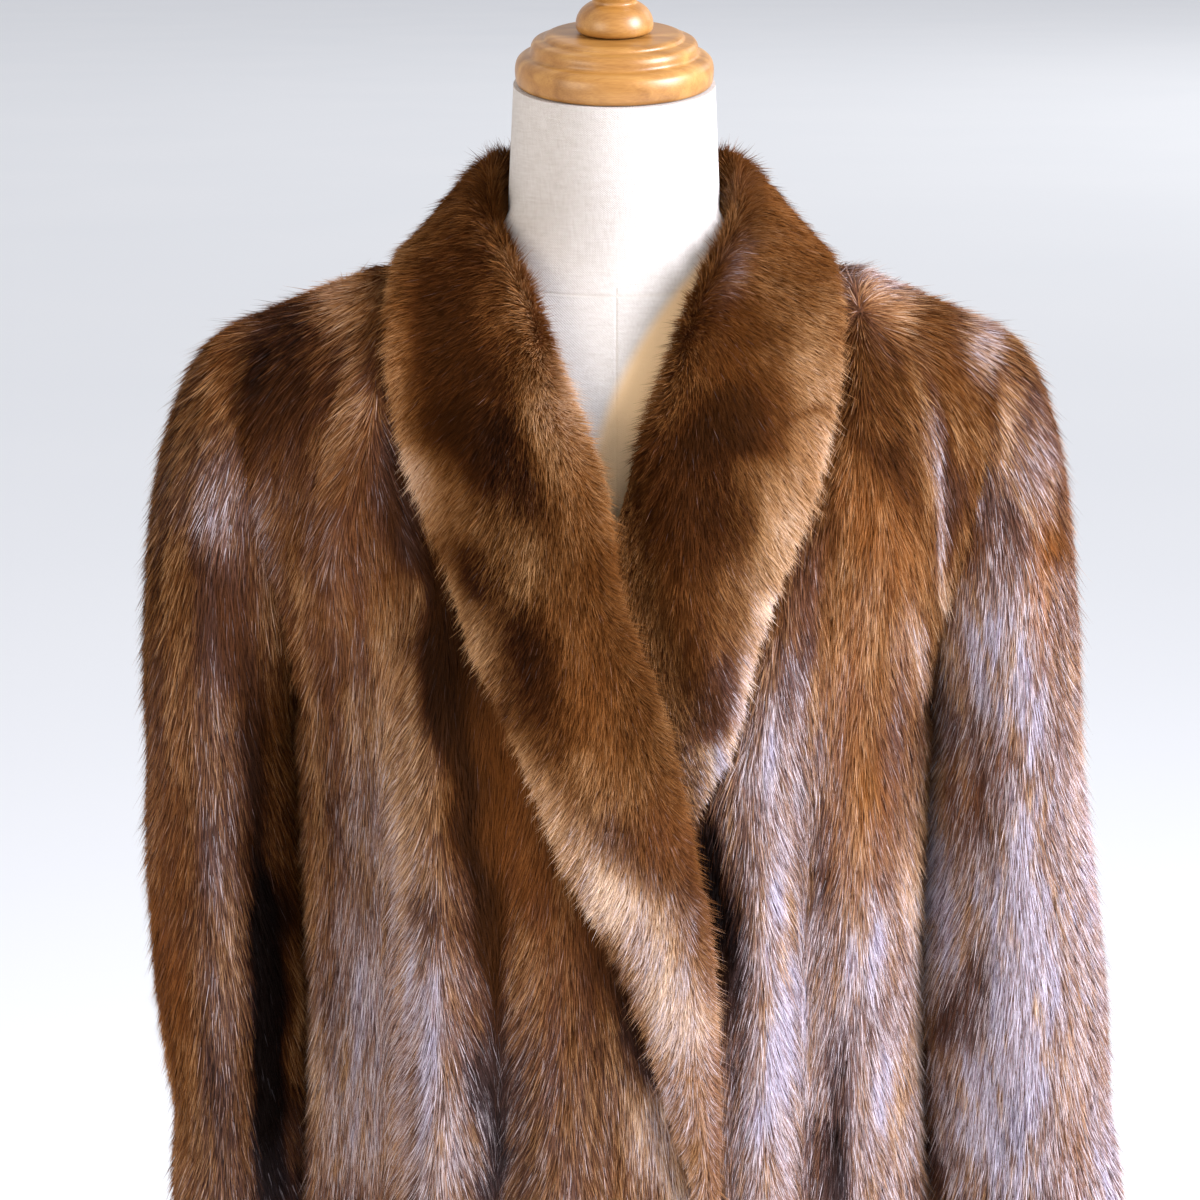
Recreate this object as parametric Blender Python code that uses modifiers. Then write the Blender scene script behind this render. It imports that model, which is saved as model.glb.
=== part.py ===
# Mink coat with a shawl collar, worn by a limbless dress form on a round stand.
# Metres, +Z up. The front faces -Y and the wearer's right arm is at -X.
# The origin is the centre of the stand base's underside.
import math

import bpy
import bmesh
from mathutils import Vector

# ---------------------------------------------------------------- sizes
SEAM_GAP = 0.0003          # clearance between two pieces that meet at a seam
SLEEVE_GAP = 0.0004        # the same at the curved armhole
LAYER_GAP = 0.0010         # clearance between pelts that lie on each other
LAP_GAP = 0.0045           # and between the two fronts, which swing apart below
LAP_RISE = 0.0050          # how far the overlap lifts the right front
PELT = 0.012               # leather and standing fur together
PRESSED_PELT = 0.0045      # the same wall where another piece lies on it

HEM_Z = 0.470
UNDERARM_Z = 1.130
SECTION_ROUNDNESS = 2.3    # superellipse power of the body's level sections

SHOULDER_X = 0.205         # shoulder point
SHOULDER_Z = 1.328
NECK_X = 0.060             # where the shoulder seam meets the collar
NECK_Z = 1.389
CHEST_ROUNDNESS = (2.6, 1.9)       # powers of the curve from chest over to the shoulder seam
BACK_ROUNDNESS = (3.0, 2.0)
ARMHOLE_FRONT = 0.072      # how far the armhole reaches before and behind the shoulder seam
ARMHOLE_BACK = 0.078
ARMHOLE_LEAN = 1.15        # how late the armhole runs out to the shoulder point
YOKE_RISE = 1.3            # how the rows between underarm and shoulder are spread

BACK_NECK_DIP = 0.23       # back neckline and collar edge, in rows below the shoulder seam
BACK_COLLAR_DIP = 0.39
FRONT_NECK_DIP = 0.10
NECKLINE_ROUNDNESS = 2.6
COLLAR_SHOULDER_X = 0.116  # collar's outer edge on the shoulder seam
UNDER_COLLAR_FADE = (1.10, 1.30)   # the back is thin up to here, in collar widths

ROLL_CHEST = 0.0160        # how high the collar's roll stands on the chest,
ROLL_SHOULDER = 0.036      # at the shoulder seam
ROLL_BACK = 0.058          # and behind the neck
RIM_CHEST = 0.0090         # the collar's thickness at its outer edge
RIM_NECK = 0.0075
BULGE_CHEST = 0.0025       # how much fuller it is half way across
BULGE_BACK = 0.0060

FRONT, BACK = -1, 1
RIGHT, LEFT = -1, 1        # the wearer's

# Body sections at the fur's surface, from hem to underarm.
BODY = {
    "z":     (0.470, 0.600, 0.740, 0.860, 0.950, 1.040, 1.130),
    "side":  (0.226, 0.204, 0.181, 0.172, 0.170, 0.170, 0.172),
    "front": (0.196, 0.178, 0.158, 0.147, 0.141, 0.137, 0.134),
    "back":  (0.186, 0.172, 0.154, 0.144, 0.139, 0.137, 0.138),
}

# Closing edge and collar edge of each front, as x at a height.
RIGHT_FRONT = {
    "z":      (0.470, 0.840, 0.936, 1.008, 1.065, 1.137, 1.180, 1.205, 1.258, 1.303, 1.351, 1.389),
    "edge":   (0.056, 0.056, 0.055, 0.052, 0.043, 0.028, 0.014, 0.004, -0.003, -0.020, -0.038, -0.060),
    "collar": (0.020, 0.046, 0.024, 0.001, -0.027, -0.055, -0.075, -0.086, -0.108, -0.117, -0.120, -0.116),
}
LEFT_FRONT = {
    "z":      (0.470, 0.860, 1.030, 1.071, 1.129, 1.180, 1.222, 1.256, 1.299, 1.349, 1.389),
    "edge":   (-0.030, -0.030, -0.028, -0.023, -0.016, -0.011, -0.006, 0.001, 0.016, 0.036, 0.060),
    "collar": (0.072, 0.064, 0.038, 0.043, 0.065, 0.078, 0.094, 0.107, 0.117, 0.121, 0.116),
}
RIGHT_COLLAR_END_Z = 0.845     # the shawl runs out in the closing edge here
LEFT_COLLAR_END_Z = 1.030      # and under the lap here
LAP_TOP_Z = 1.256              # the bottom of the neck opening
UNDER_LAP_X = (-0.082, -0.062) # the right front rises over the left one between these
LAP_FADE = (0.020, 0.060)      # and comes down again this far above the lap's top
TUCK_FADE = (-0.034, -0.008)   # the same for the left collar's end, from that end up
BESIDE_LAP = (0.004, 0.032)    # the left front swells to full fur this far from the lap
SQUASH_RAMP = (0.017, 0.031)   # and so does the left collar
SQUASH_FADE = (0.012, 0.050)

# Soft folds in the fronts and the back: a line from (x0, z0) to (x1, z1), how wide
# the fold is to either side of it, and how far it stands out (+) or in (-).
FRONT_FOLDS = (
    # x0,     z0,     x1,     z1,     width,  height
    (-0.130, 0.470, -0.126, 1.200, 0.015, -0.0080),
    (-0.094, 0.470, -0.092, 1.260, 0.021, 0.0100),
    (-0.058, 0.470, -0.064, 1.190, 0.015, -0.0090),
    (-0.022, 0.470, -0.028, 1.080, 0.017, 0.0045),
    (0.084, 0.470, 0.078, 1.140, 0.014, 0.0050),
    (0.110, 0.470, 0.102, 1.240, 0.014, -0.0085),
    (0.138, 0.470, 0.137, 1.300, 0.016, 0.0075),
    (-0.112, 1.330, -0.150, 1.200, 0.013, 0.0055),
    (-0.096, 1.230, -0.122, 1.120, 0.014, -0.0035),
    (0.128, 1.320, 0.146, 1.200, 0.014, 0.0045),
    (0.114, 1.200, 0.122, 1.100, 0.015, -0.0035),
)
BACK_FOLDS = (
    (-0.120, 0.470, -0.100, 1.060, 0.024, 0.0080),
    (-0.074, 0.470, -0.066, 1.000, 0.020, -0.0065),
    (-0.028, 0.470, -0.024, 0.940, 0.022, 0.0060),
    (0.022, 0.470, 0.018, 1.020, 0.020, -0.0060),
    (0.072, 0.470, 0.064, 1.080, 0.024, 0.0075),
    (0.122, 0.470, 0.108, 0.980, 0.020, -0.0065),
    (-0.130, 1.280, -0.090, 1.180, 0.016, 0.0035),
    (0.130, 1.290, 0.096, 1.170, 0.016, 0.0035),
)

# Sleeve sections: height, how far the section tips up at its outer side, then the
# inner and outer reach from the middle plane, and the middle and half depth.
RIGHT_SLEEVE = {
    "z":     (0.740, 0.810, 0.870, 0.935, 1.000, 1.066, 1.136),
    "tip":   (0.000, 0.000, 0.000, 0.002, 0.010, 0.028, 0.054),
    "inner": (0.190, 0.184, 0.177, 0.1745, 0.1745, 0.1755, 0.1775),
    "outer": (0.252, 0.255, 0.257, 0.260, 0.265, 0.266, 0.260),
    "y":     (-0.016, -0.012, -0.010, -0.006, -0.002, 0.000, 0.002),
    "depth": (0.074, 0.076, 0.077, 0.078, 0.080, 0.081, 0.080),
}
LEFT_SLEEVE = {
    "z":     (0.740, 0.810, 0.870, 0.935, 1.000, 1.066, 1.136),
    "tip":   (0.000, 0.000, 0.000, 0.002, 0.010, 0.028, 0.054),
    "inner": (0.200, 0.192, 0.183, 0.1765, 0.1745, 0.1755, 0.1775),
    "outer": (0.300, 0.297, 0.291, 0.283, 0.274, 0.266, 0.256),
    "y":     (-0.020, -0.016, -0.012, -0.008, -0.004, 0.000, 0.002),
    "depth": (0.066, 0.068, 0.070, 0.073, 0.077, 0.080, 0.080),
}
SLEEVE_FOLDS = (
    # angle round the sleeve from its outer side through the front, z, width, height
    (0.35, 1.060, 0.030, -0.0045),
    (0.55, 0.960, 0.026, 0.0035),
    (0.20, 0.880, 0.024, -0.0040),
    (0.75, 0.820, 0.026, 0.0035),
)

# The dress form: level sections from its foot to the top of the neck.
FORM = {
    "z":     (0.700, 0.712, 0.780, 0.880, 0.980, 1.080, 1.180, 1.240, 1.280, 1.306),
    "side":  (0.128, 0.136, 0.146, 0.130, 0.112, 0.124, 0.143, 0.148, 0.156, 0.172),
    "front": (0.092, 0.098, 0.104, 0.094, 0.088, 0.102, 0.114, 0.109, 0.099, 0.089),
    "back":  (0.096, 0.102, 0.110, 0.096, 0.084, 0.090, 0.098, 0.102, 0.099, 0.094),
    "power": (2.10, 2.10, 2.10, 2.10, 2.10, 2.10, 2.05, 1.95, 1.80, 1.60),
}
FORM_SHOULDER = {
    "z":     (1.318, 1.330, 1.342, 1.352, 1.360),
    "front": (0.082, 0.076, 0.068, 0.0605, 0.0570),
    "back":  (0.088, 0.079, 0.067, 0.0570, 0.0555),
    "power": (1.50, 1.50, 1.50, 1.52, 1.55),
}
FORM_NECK = {
    "z":     (1.3665, 1.380, 1.398, 1.420, 1.4535),
    "side":  (0.0575, 0.0566, 0.0560, 0.0547, 0.0528),
}
FORM_NECK_LEAN = math.radians(13.5)
FORM_NECK_Y = -0.001
FORM_SHOULDER_PLAY = 0.0006    # the shoulders carry the coat at their crest

# Turned neck cap and finial: radius and height of each point above the neck.
CAP_PROFILE = (
    # radius, height
    (0.0000, 0.0000), (0.0506, 0.0000), (0.0516, 0.0025), (0.0520, 0.0080), (0.0510, 0.0125),
    (0.0480, 0.0150), (0.0436, 0.0158), (0.0436, 0.0200), (0.0420, 0.0226), (0.0366, 0.0236),
    (0.0360, 0.0252), (0.0335, 0.0262), (0.0000, 0.0264),
)
FINIAL_PROFILE = (
    (0.0000, 0.0000), (0.0160, 0.0000), (0.0192, 0.0013), (0.0202, 0.0038), (0.0191, 0.0078),
    (0.0158, 0.0112), (0.0122, 0.0132), (0.0110, 0.0158), (0.0128, 0.0195), (0.0160, 0.0250),
    (0.0166, 0.0312), (0.0144, 0.0372), (0.0090, 0.0412), (0.0000, 0.0424),
)

POLE_RADIUS = 0.0125
FLANGE_RADIUS = 0.040
FLANGE_THICK = 0.006
BASE_RADIUS = 0.180
BASE_THICK = 0.020
BASE_BEVEL = 0.003

BODY_ROWS = (0.470, 0.545, 0.620, 0.695, 0.770, 0.840, 0.880, 0.920, 0.960, 0.996, 1.030, 1.064,
             1.098, 1.130)
YOKE_ROWS = 9              # rows from the underarm to the shoulder seam
SIDE_COLUMNS = 18          # columns of a front, from its side to the collar's edge
COLLAR_COLUMNS = 6         # and from there to the closing edge
BACK_COLUMNS = (5, 9)      # half of the back's columns: under the neck, and beside it
SLEEVE_POINTS = 24
SLEEVE_HEAD_ROWS = 4
SLEEVE_ROWS = 10
COLLAR_BACK_STATIONS = 7
FORM_POINTS = 32

SHOULDER_SLOPE = math.atan((NECK_Z - SHOULDER_Z) / (SHOULDER_X - NECK_X))
ARMHOLE_MID_Z = (SHOULDER_Z + UNDERARM_Z) / 2
ARMHOLE_HALF = (SHOULDER_Z - UNDERARM_Z) / 2


# ---------------------------------------------------------------- small helpers
def smooth(low, high, value):
    """0 below low, 1 above high, and an even S between them."""
    t = min(max((value - low) / (high - low), 0.0), 1.0)
    return t * t * (3.0 - 2.0 * t)


def mix(a, b, t):
    return a + (b - a) * t


def column_at(table, name, z):
    """A table's column at height z, on a curve through its rows."""
    heights = table["z"]
    values = table[name]
    last = len(heights) - 1
    z = min(max(z, heights[0]), heights[last])
    i = max(k for k in range(last) if heights[k] <= z)
    span = heights[i + 1] - heights[i]
    t = (z - heights[i]) / span

    def slope(k):
        low, high = max(k - 1, 0), min(k + 1, last)
        return (values[high] - values[low]) / (heights[high] - heights[low]) * span

    t2, t3 = t * t, t * t * t
    return ((2 * t3 - 3 * t2 + 1) * values[i] + (t3 - 2 * t2 + t) * slope(i)
            + (3 * t2 - 2 * t3) * values[i + 1] + (t3 - t2) * slope(i + 1))


# ---------------------------------------------------------------- the body's surface
# A place on the body is (turn, level). turn runs from -90 degrees at the right side
# over 0 at the middle to 90 at the left side. level runs 0..1 from hem to underarm and
# 1..2 from the underarm to the shoulder seam.
def side_reach(level):
    """How far out the body's edge is: side seam, then armhole."""
    if level <= 1.0:
        return column_at(BODY, "side", mix(HEM_Z, UNDERARM_Z, level))
    rise = (1.0 - math.cos(math.pi * (level - 1.0))) / 2.0
    return mix(BODY["side"][-1], SHOULDER_X, rise ** ARMHOLE_LEAN)


def turn_at(x, level):
    ratio = min(abs(x) / side_reach(level), 1.0)
    return math.copysign(math.asin(ratio ** (SECTION_ROUNDNESS / 2.0)), x)


def folds_at(x, z, facing):
    total = 0.0
    for x0, z0, x1, z1, width, height in (FRONT_FOLDS if facing == FRONT else BACK_FOLDS):
        along = ((x - x0) * (x1 - x0) + (z - z0) * (z1 - z0)) / ((x1 - x0) ** 2 + (z1 - z0) ** 2)
        held = min(max(along, 0.0), 1.0)
        away = math.hypot(x - mix(x0, x1, held), (z - mix(z0, z1, held)) * 0.4)
        fade = smooth(1.0, 0.72, along) if abs(z1 - z0) > 0.2 else 1.0
        total += height * fade * math.exp(-(away / width) ** 2)
    return total


def bare_point(turn, level, facing):
    """The body's surface without folds."""
    reach = side_reach(level)
    ratio = abs(math.sin(turn)) ** (2.0 / SECTION_ROUNDNESS)
    x = math.copysign(reach * ratio, turn)
    round_off = max(math.cos(turn), 0.0) ** (2.0 / SECTION_ROUNDNESS)
    if level <= 1.0:
        z = mix(HEM_Z, UNDERARM_Z, level)
        depth = column_at(BODY, "front" if facing == FRONT else "back", z)
        return Vector((x, facing * depth * round_off, z))
    tau = min(level - 1.0, 1.0)
    angle = math.pi * tau
    edge_z = ARMHOLE_MID_Z - ARMHOLE_HALF * math.cos(angle)
    edge_y = (ARMHOLE_FRONT if facing == FRONT else ARMHOLE_BACK) * math.sin(angle)
    rise = math.sin(angle / 2.0) ** YOKE_RISE
    middle_z = mix(UNDERARM_Z, NECK_Z, rise)
    power, root = CHEST_ROUNDNESS if facing == FRONT else BACK_ROUNDNESS
    chest = BODY["front"][-1] if facing == FRONT else BODY["back"][-1]
    depth = chest * max(1.0 - rise ** power, 0.0) ** (1.0 / root)
    open_off = 1.0 - ratio ** 2.4
    across = mix(round_off, open_off, smooth(0.0, 0.35, tau))
    y = mix(edge_y, depth, across)
    z = mix(middle_z, edge_z, max(abs(x) - NECK_X, 0.0) / (reach - NECK_X))
    return Vector((x, facing * y, z))


def seam_direction(turn, level, facing):
    """Outward direction of the wall at the side seam and round the armhole."""
    if level > 1.0:
        angle = math.pi * (level - 1.0)
        return Vector((0.0, facing * math.sin(angle), -math.cos(angle)))
    bend = smooth(UNDERARM_Z - 0.030, UNDERARM_Z, mix(HEM_Z, UNDERARM_Z, level))
    return Vector((math.copysign(1.0 - bend, turn), 0.0, -bend)).normalized()


def body_frame(turn, level, facing):
    """Point and outward direction on the body's surface, folds included."""
    step_turn, step_level = 0.03, 0.02
    left = bare_point(min(turn + step_turn, math.pi / 2), level, facing)
    right = bare_point(max(turn - step_turn, -math.pi / 2), level, facing)
    upper = bare_point(turn, min(level + step_level, 2.0), facing)
    lower = bare_point(turn, max(level - step_level, 0.0), facing)
    point = bare_point(turn, level, facing)
    normal = (left - right).cross(upper - lower)
    normal *= -facing
    if normal.length < 1e-12:
        normal = Vector((0.0, facing, 0.0))
    normal.normalize()
    if level > 1.0:
        dip = BACK_NECK_DIP if facing == BACK else FRONT_NECK_DIP
        away = math.hypot(point.x / NECK_X, (2.0 - level) / dip)
        top = smooth(1.86, 2.0, level)
        lean = math.copysign(math.sin(SHOULDER_SLOPE), point.x)
        normal = normal.lerp(Vector((lean, 0.0, math.cos(SHOULDER_SLOPE))), top).normalized()
        normal = normal.lerp(Vector((0.0, 0.0, 1.0)), 1.0 - smooth(1.0, 1.35, away)).normalized()
    ratio = abs(point.x) / side_reach(level)
    near_edge = smooth(0.86, 1.0, ratio) if level > 0.9 else smooth(0.97, 1.0, ratio)
    if near_edge > 0.0:
        normal = normal.lerp(seam_direction(turn, level, facing), near_edge).normalized()
    fold = folds_at(point.x, point.z, facing) * (1.0 - smooth(0.88, 1.0, ratio))
    return point + normal * fold, normal


def clear_of_seam(point, facing):
    """Keeps a front before, and the back behind, the plane of side and shoulder seams."""
    limit = SEAM_GAP / 2.0
    point.y = min(point.y, -limit) if facing == FRONT else max(point.y, limit)
    return point


# ---------------------------------------------------------------- layers of the fronts
def front_table(side):
    return RIGHT_FRONT if side == RIGHT else LEFT_FRONT


def x_on_row(side, name, level):
    """x where a front's edge or collar line crosses a row, which climbs to the shoulder."""
    x = column_at(front_table(side), name, HEM_Z)
    for _ in range(12):
        z = bare_point(turn_at(x, level), level, FRONT).z
        x = column_at(front_table(side), name, z)
    return x


def in_lap(x, z):
    """1 where the right front lies over the left one."""
    return smooth(*UNDER_LAP_X, x) * (1.0 - smooth(*LAP_FADE, z - LAP_TOP_Z))


def over_tuck(x, z):
    """1 where the left collar's end also lies under the lap."""
    return in_lap(x, z) * smooth(*TUCK_FADE, z - LEFT_COLLAR_END_Z)


def beside_lap(x, z):
    """1 under the closing edge and just beyond it, 0 further out on the left front."""
    beyond = x - column_at(RIGHT_FRONT, "edge", z)
    return (1.0 - smooth(*BESIDE_LAP, beyond)) * (1.0 - smooth(0.0, 0.030, z - LAP_TOP_Z))


def front_layers(side, x, z, under_collar):
    """Heights of a front's inner and outer face above the body's surface."""
    inner, outer = -PELT, 0.0
    pressed = PRESSED_PELT - PELT
    if side == LEFT:
        outer = mix(outer, pressed, max(under_collar, beside_lap(x, z)))
        return inner, outer
    lap, tuck = in_lap(x, z), over_tuck(x, z)
    inner = mix(inner, pressed + LAP_GAP, lap)
    inner = mix(inner, pressed + PRESSED_PELT + 2 * LAYER_GAP, tuck)
    outer = mix(outer, LAP_RISE, lap)
    if under_collar > 0.0:
        outer = mix(outer, inner + PRESSED_PELT, under_collar)
    return inner, outer


def row_levels():
    lower = [(z - HEM_Z) / (UNDERARM_Z - HEM_Z) for z in BODY_ROWS]
    return lower + [1.0 + (k + 1) / YOKE_ROWS for k in range(YOKE_ROWS)]


def front_row(side, level):
    """The turns of one row of a front: side to collar line, collar line to closing edge."""
    collar_x = x_on_row(side, "collar", level)
    edge_x = x_on_row(side, "edge", level)
    reach = side_reach(level)
    collar = math.asin(collar_x / reach)
    turns = [turn_at(reach * math.sin(mix(side * math.pi / 2, collar, k / SIDE_COLUMNS)), level)
             for k in range(SIDE_COLUMNS)]
    turns += [turn_at(mix(collar_x, edge_x, k / COLLAR_COLUMNS), level)
              for k in range(COLLAR_COLUMNS + 1)]
    return turns


def has_collar(side, level):
    end_z = RIGHT_COLLAR_END_Z if side == RIGHT else LEFT_COLLAR_END_Z
    return level > 1.0 or mix(HEM_Z, UNDERARM_Z, level) >= end_z - 0.012


def front_points(side):
    """Inner and outer points of a front, row by row."""
    inner_rows, outer_rows = [], []
    for level in row_levels():
        inner_row, outer_row = [], []
        for k, turn in enumerate(front_row(side, level)):
            point, normal = body_frame(turn, level, FRONT)
            under = 1.0 if k >= SIDE_COLUMNS and has_collar(side, level) else 0.0
            inner, outer = front_layers(side, point.x, point.z, under)
            inner_row.append(clear_of_seam(point + normal * inner, FRONT))
            outer_row.append(clear_of_seam(point + normal * outer, FRONT))
        inner_rows.append(inner_row)
        outer_rows.append(outer_row)
    return inner_rows, outer_rows


def back_points():
    """Inner and outer points of the back, with the neckline in its top edge."""
    under_neck, beside = BACK_COLUMNS
    neck_ratio = NECK_X / SHOULDER_X
    half = [neck_ratio * math.sin(math.pi / 2 * k / under_neck) ** (2.0 / NECKLINE_ROUNDNESS)
            for k in range(under_neck)]
    start = math.asin(neck_ratio ** (SECTION_ROUNDNESS / 2.0))
    half += [math.sin(mix(start, math.pi / 2, k / beside)) ** (2.0 / SECTION_ROUNDNESS)
             for k in range(beside + 1)]
    ratios = [-r for r in reversed(half[1:])] + half
    inner_rows, outer_rows = [], []
    for level in row_levels():
        inner_row, outer_row = [], []
        for ratio in ratios:
            across = min(abs(ratio) / neck_ratio, 1.0)
            dip = (1.0 - across ** NECKLINE_ROUNDNESS) ** (1.0 / NECKLINE_ROUNDNESS)
            top = 2.0 - BACK_NECK_DIP * dip
            here = level if level <= 1.0 else 1.0 + (level - 1.0) * (top - 1.0)
            turn = math.copysign(math.asin(min(abs(ratio), 1.0) ** (SECTION_ROUNDNESS / 2.0)), ratio)
            point, normal = body_frame(turn, here, BACK)
            outer = mix(0.0, PRESSED_PELT - PELT, under_back_collar(point.x, here))
            inner_row.append(clear_of_seam(point - normal * PELT, BACK))
            outer_row.append(clear_of_seam(point + normal * outer, BACK))
        inner_rows.append(inner_row)
        outer_rows.append(outer_row)
    return inner_rows, outer_rows


def under_back_collar(x, level):
    """1 under the collar's fall on the back, 0 beyond it."""
    if level <= 1.0:
        return 0.0
    away = math.hypot(x / COLLAR_SHOULDER_X, (2.0 - level) / BACK_COLLAR_DIP)
    return 1.0 - smooth(*UNDER_COLLAR_FADE, away)


# ---------------------------------------------------------------- closed walls
def split_quad(bm, a, b, c, d):
    """Two triangles that share the diagonal a-c, so that stacked layers stay parallel."""
    bm.faces.new((a, b, c))
    bm.faces.new((a, c, d))


def wall_object(name, inner_rows, outer_rows, closed_round=False):
    """A closed wall between two grids of points; closed_round joins last column to first."""
    mesh = bpy.data.meshes.new(name)
    bm = bmesh.new()
    inner = [[bm.verts.new(p) for p in row] for row in inner_rows]
    outer = [[bm.verts.new(p) for p in row] for row in outer_rows]
    rows, columns = len(inner), len(inner[0])
    spans = columns if closed_round else columns - 1
    for r in range(rows - 1):
        for c in range(spans):
            d = (c + 1) % columns
            split_quad(bm, outer[r][c], outer[r][d], outer[r + 1][d], outer[r + 1][c])
            split_quad(bm, inner[r][c], inner[r + 1][c], inner[r + 1][d], inner[r][d])
    for c in range(spans):
        d = (c + 1) % columns
        split_quad(bm, inner[0][c], inner[0][d], outer[0][d], outer[0][c])
        split_quad(bm, outer[-1][c], outer[-1][d], inner[-1][d], inner[-1][c])
    if not closed_round:
        for r in range(rows - 1):
            split_quad(bm, outer[r][0], outer[r + 1][0], inner[r + 1][0], inner[r][0])
            split_quad(bm, inner[r][-1], inner[r + 1][-1], outer[r + 1][-1], outer[r][-1])
    bmesh.ops.recalc_face_normals(bm, faces=bm.faces)
    bm.to_mesh(mesh)
    bm.free()
    return bpy.data.objects.new(name, mesh)


def loft_object(name, rings):
    """A closed solid through rings of points, each end closed by a fan at its middle."""
    mesh = bpy.data.meshes.new(name)
    bm = bmesh.new()
    loops = [[bm.verts.new(p) for p in ring] for ring in rings]
    count = len(loops[0])
    for low, high in zip(loops, loops[1:]):
        for c in range(count):
            d = (c + 1) % count
            split_quad(bm, low[d], high[d], high[c], low[c])
    for loop, ring in ((loops[0], rings[0]), (loops[-1], rings[-1])):
        middle = bm.verts.new(sum(ring, Vector()) / count)
        for c in range(count):
            bm.faces.new((loop[c], loop[(c + 1) % count], middle))
    bmesh.ops.recalc_face_normals(bm, faces=bm.faces)
    bm.to_mesh(mesh)
    bm.free()
    return bpy.data.objects.new(name, mesh)


# ---------------------------------------------------------------- collar
def collar_stand(side, level):
    """How high the roll stands above the front it lies on, tallest at the neck."""
    y = abs(bare_point(turn_at(x_on_row(side, "edge", level), level), level, FRONT).y)
    return mix(ROLL_SHOULDER, ROLL_CHEST, smooth(0.0, 0.042, y))


def collar_section(base, directions, heights):
    """A closed loop: the under side from roll to outer edge, then back over the top."""
    under = [p + d * LAYER_GAP * 0.5 for p, d in zip(base, directions)]
    over = [p + d * h for p, d, h in zip(base, directions, heights)]
    return under + list(reversed(over))


def collar_heights(stand, rim, bulge, count, upright):
    """Thickness from the roll (first) to the outer edge (last); it falls faster where it stands."""
    heights = []
    for k in range(count):
        s = k / (count - 1)
        fall = (1.0 - s ** mix(1.5, 1.15, upright)) ** mix(1.25, 1.5, upright)
        heights.append(rim + (stand - rim) * fall + bulge * math.sin(math.pi * s))
    heights[0] *= 0.90
    return heights


def collar_front_sections(side):
    """Sections on the rows of a front, from its lower end up to the shoulder seam."""
    inner_rows, outer_rows = front_points(side)
    sections = []
    for row, level in enumerate(row_levels()):
        if not has_collar(side, level):
            continue
        base = list(reversed(outer_rows[row][SIDE_COLUMNS:]))
        turns = list(reversed(front_row(side, level)[SIDE_COLUMNS:]))
        normals = [body_frame(turn, level, FRONT)[1] for turn in turns]
        stand = collar_stand(side, level)
        lean = Vector((0.0, 0.0, 1.0))
        upright = smooth(mix(ROLL_CHEST, ROLL_SHOULDER, 0.3), ROLL_SHOULDER, stand)
        directions = []
        for k, normal in enumerate(normals):
            s = k / COLLAR_COLUMNS
            directions.append(normal.lerp(lean, upright * (1.0 - s) ** 2).normalized())
        rim = mix(RIM_CHEST, RIM_NECK, upright)
        heights = collar_heights(stand, rim, BULGE_CHEST * (1.0 - upright), len(base), upright)
        z = base[0].z
        if level <= 1.0:
            end_z = RIGHT_COLLAR_END_Z if side == RIGHT else LEFT_COLLAR_END_Z
            taper = smooth(end_z - 0.03, end_z + 0.06, z) if side == RIGHT else 1.0
            heights = [mix(PRESSED_PELT, h, taper) for h in heights]
        if side == LEFT:
            for k, point in enumerate(base):
                squashed = squash_weight(point.x, point.z)
                heights[k] = mix(heights[k], PRESSED_PELT, squashed)
        sections.append(collar_section(base, directions, heights))
    return sections


def squash_weight(x, z):
    """1 where the left collar goes in under the right one, 0 where it is free."""
    beyond = x - column_at(RIGHT_FRONT, "edge", z)
    return (1.0 - smooth(*SQUASH_RAMP, beyond)) * (1.0 - smooth(*SQUASH_FADE, z - LAP_TOP_Z))


def collar_back_sections(side):
    """Sections from the shoulder seam round to the middle of the back."""
    sections = []
    for station in range(1, COLLAR_BACK_STATIONS + 1):
        psi = math.pi / 2 * station / COLLAR_BACK_STATIONS
        bend = 2.0 / NECKLINE_ROUNDNESS
        across, down = max(math.cos(psi), 0.0) ** bend, math.sin(psi) ** bend
        inner = (NECK_X * across, 2.0 - BACK_NECK_DIP * down)
        outer = (COLLAR_SHOULDER_X * math.cos(psi), 2.0 - BACK_COLLAR_DIP * math.sin(psi))
        base, directions = [], []
        for k in range(COLLAR_COLUMNS + 1):
            s = k / COLLAR_COLUMNS
            x, level = side * mix(inner[0], outer[0], s), mix(inner[1], outer[1], s)
            point, normal = body_frame(turn_at(x, level), level, BACK)
            base.append(clear_of_seam(point + normal * (PRESSED_PELT - PELT + 2 * LAYER_GAP), BACK))
            lean = Vector((0.0, 0.14 * math.sin(psi), 1.0)).normalized()
            directions.append(normal.lerp(lean, (1.0 - s) ** 2).normalized())
        stand = mix(ROLL_SHOULDER, ROLL_BACK, math.sin(psi))
        heights = collar_heights(stand, RIM_NECK, BULGE_BACK * math.sin(psi), len(base), 1.0)
        sections.append(collar_section(base, directions, heights))
    for point in sections[-1]:
        point.x = side * SEAM_GAP / 2.0
    return sections


def collar(side, name):
    sections = collar_front_sections(side) + collar_back_sections(side)
    return loft_object(name, sections)


# ---------------------------------------------------------------- sleeves
def armhole_point(angle, shrink):
    """Armhole loop: angle 0 at the shoulder point, then front, underarm, back."""
    depth = ARMHOLE_FRONT if math.sin(angle) > 0.0 else ARMHOLE_BACK
    level = 1.0 + (1.0 + math.cos(angle)) / 2.0
    rise = (1.0 + math.cos(angle)) / 2.0
    reach = mix(BODY["side"][-1], SHOULDER_X, rise ** ARMHOLE_LEAN)
    out = Vector((0.0, -math.sin(angle), math.cos(angle)))
    point = Vector((reach, -depth * math.sin(angle), ARMHOLE_MID_Z + ARMHOLE_HALF * math.cos(angle)))
    return point - out * shrink


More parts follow.
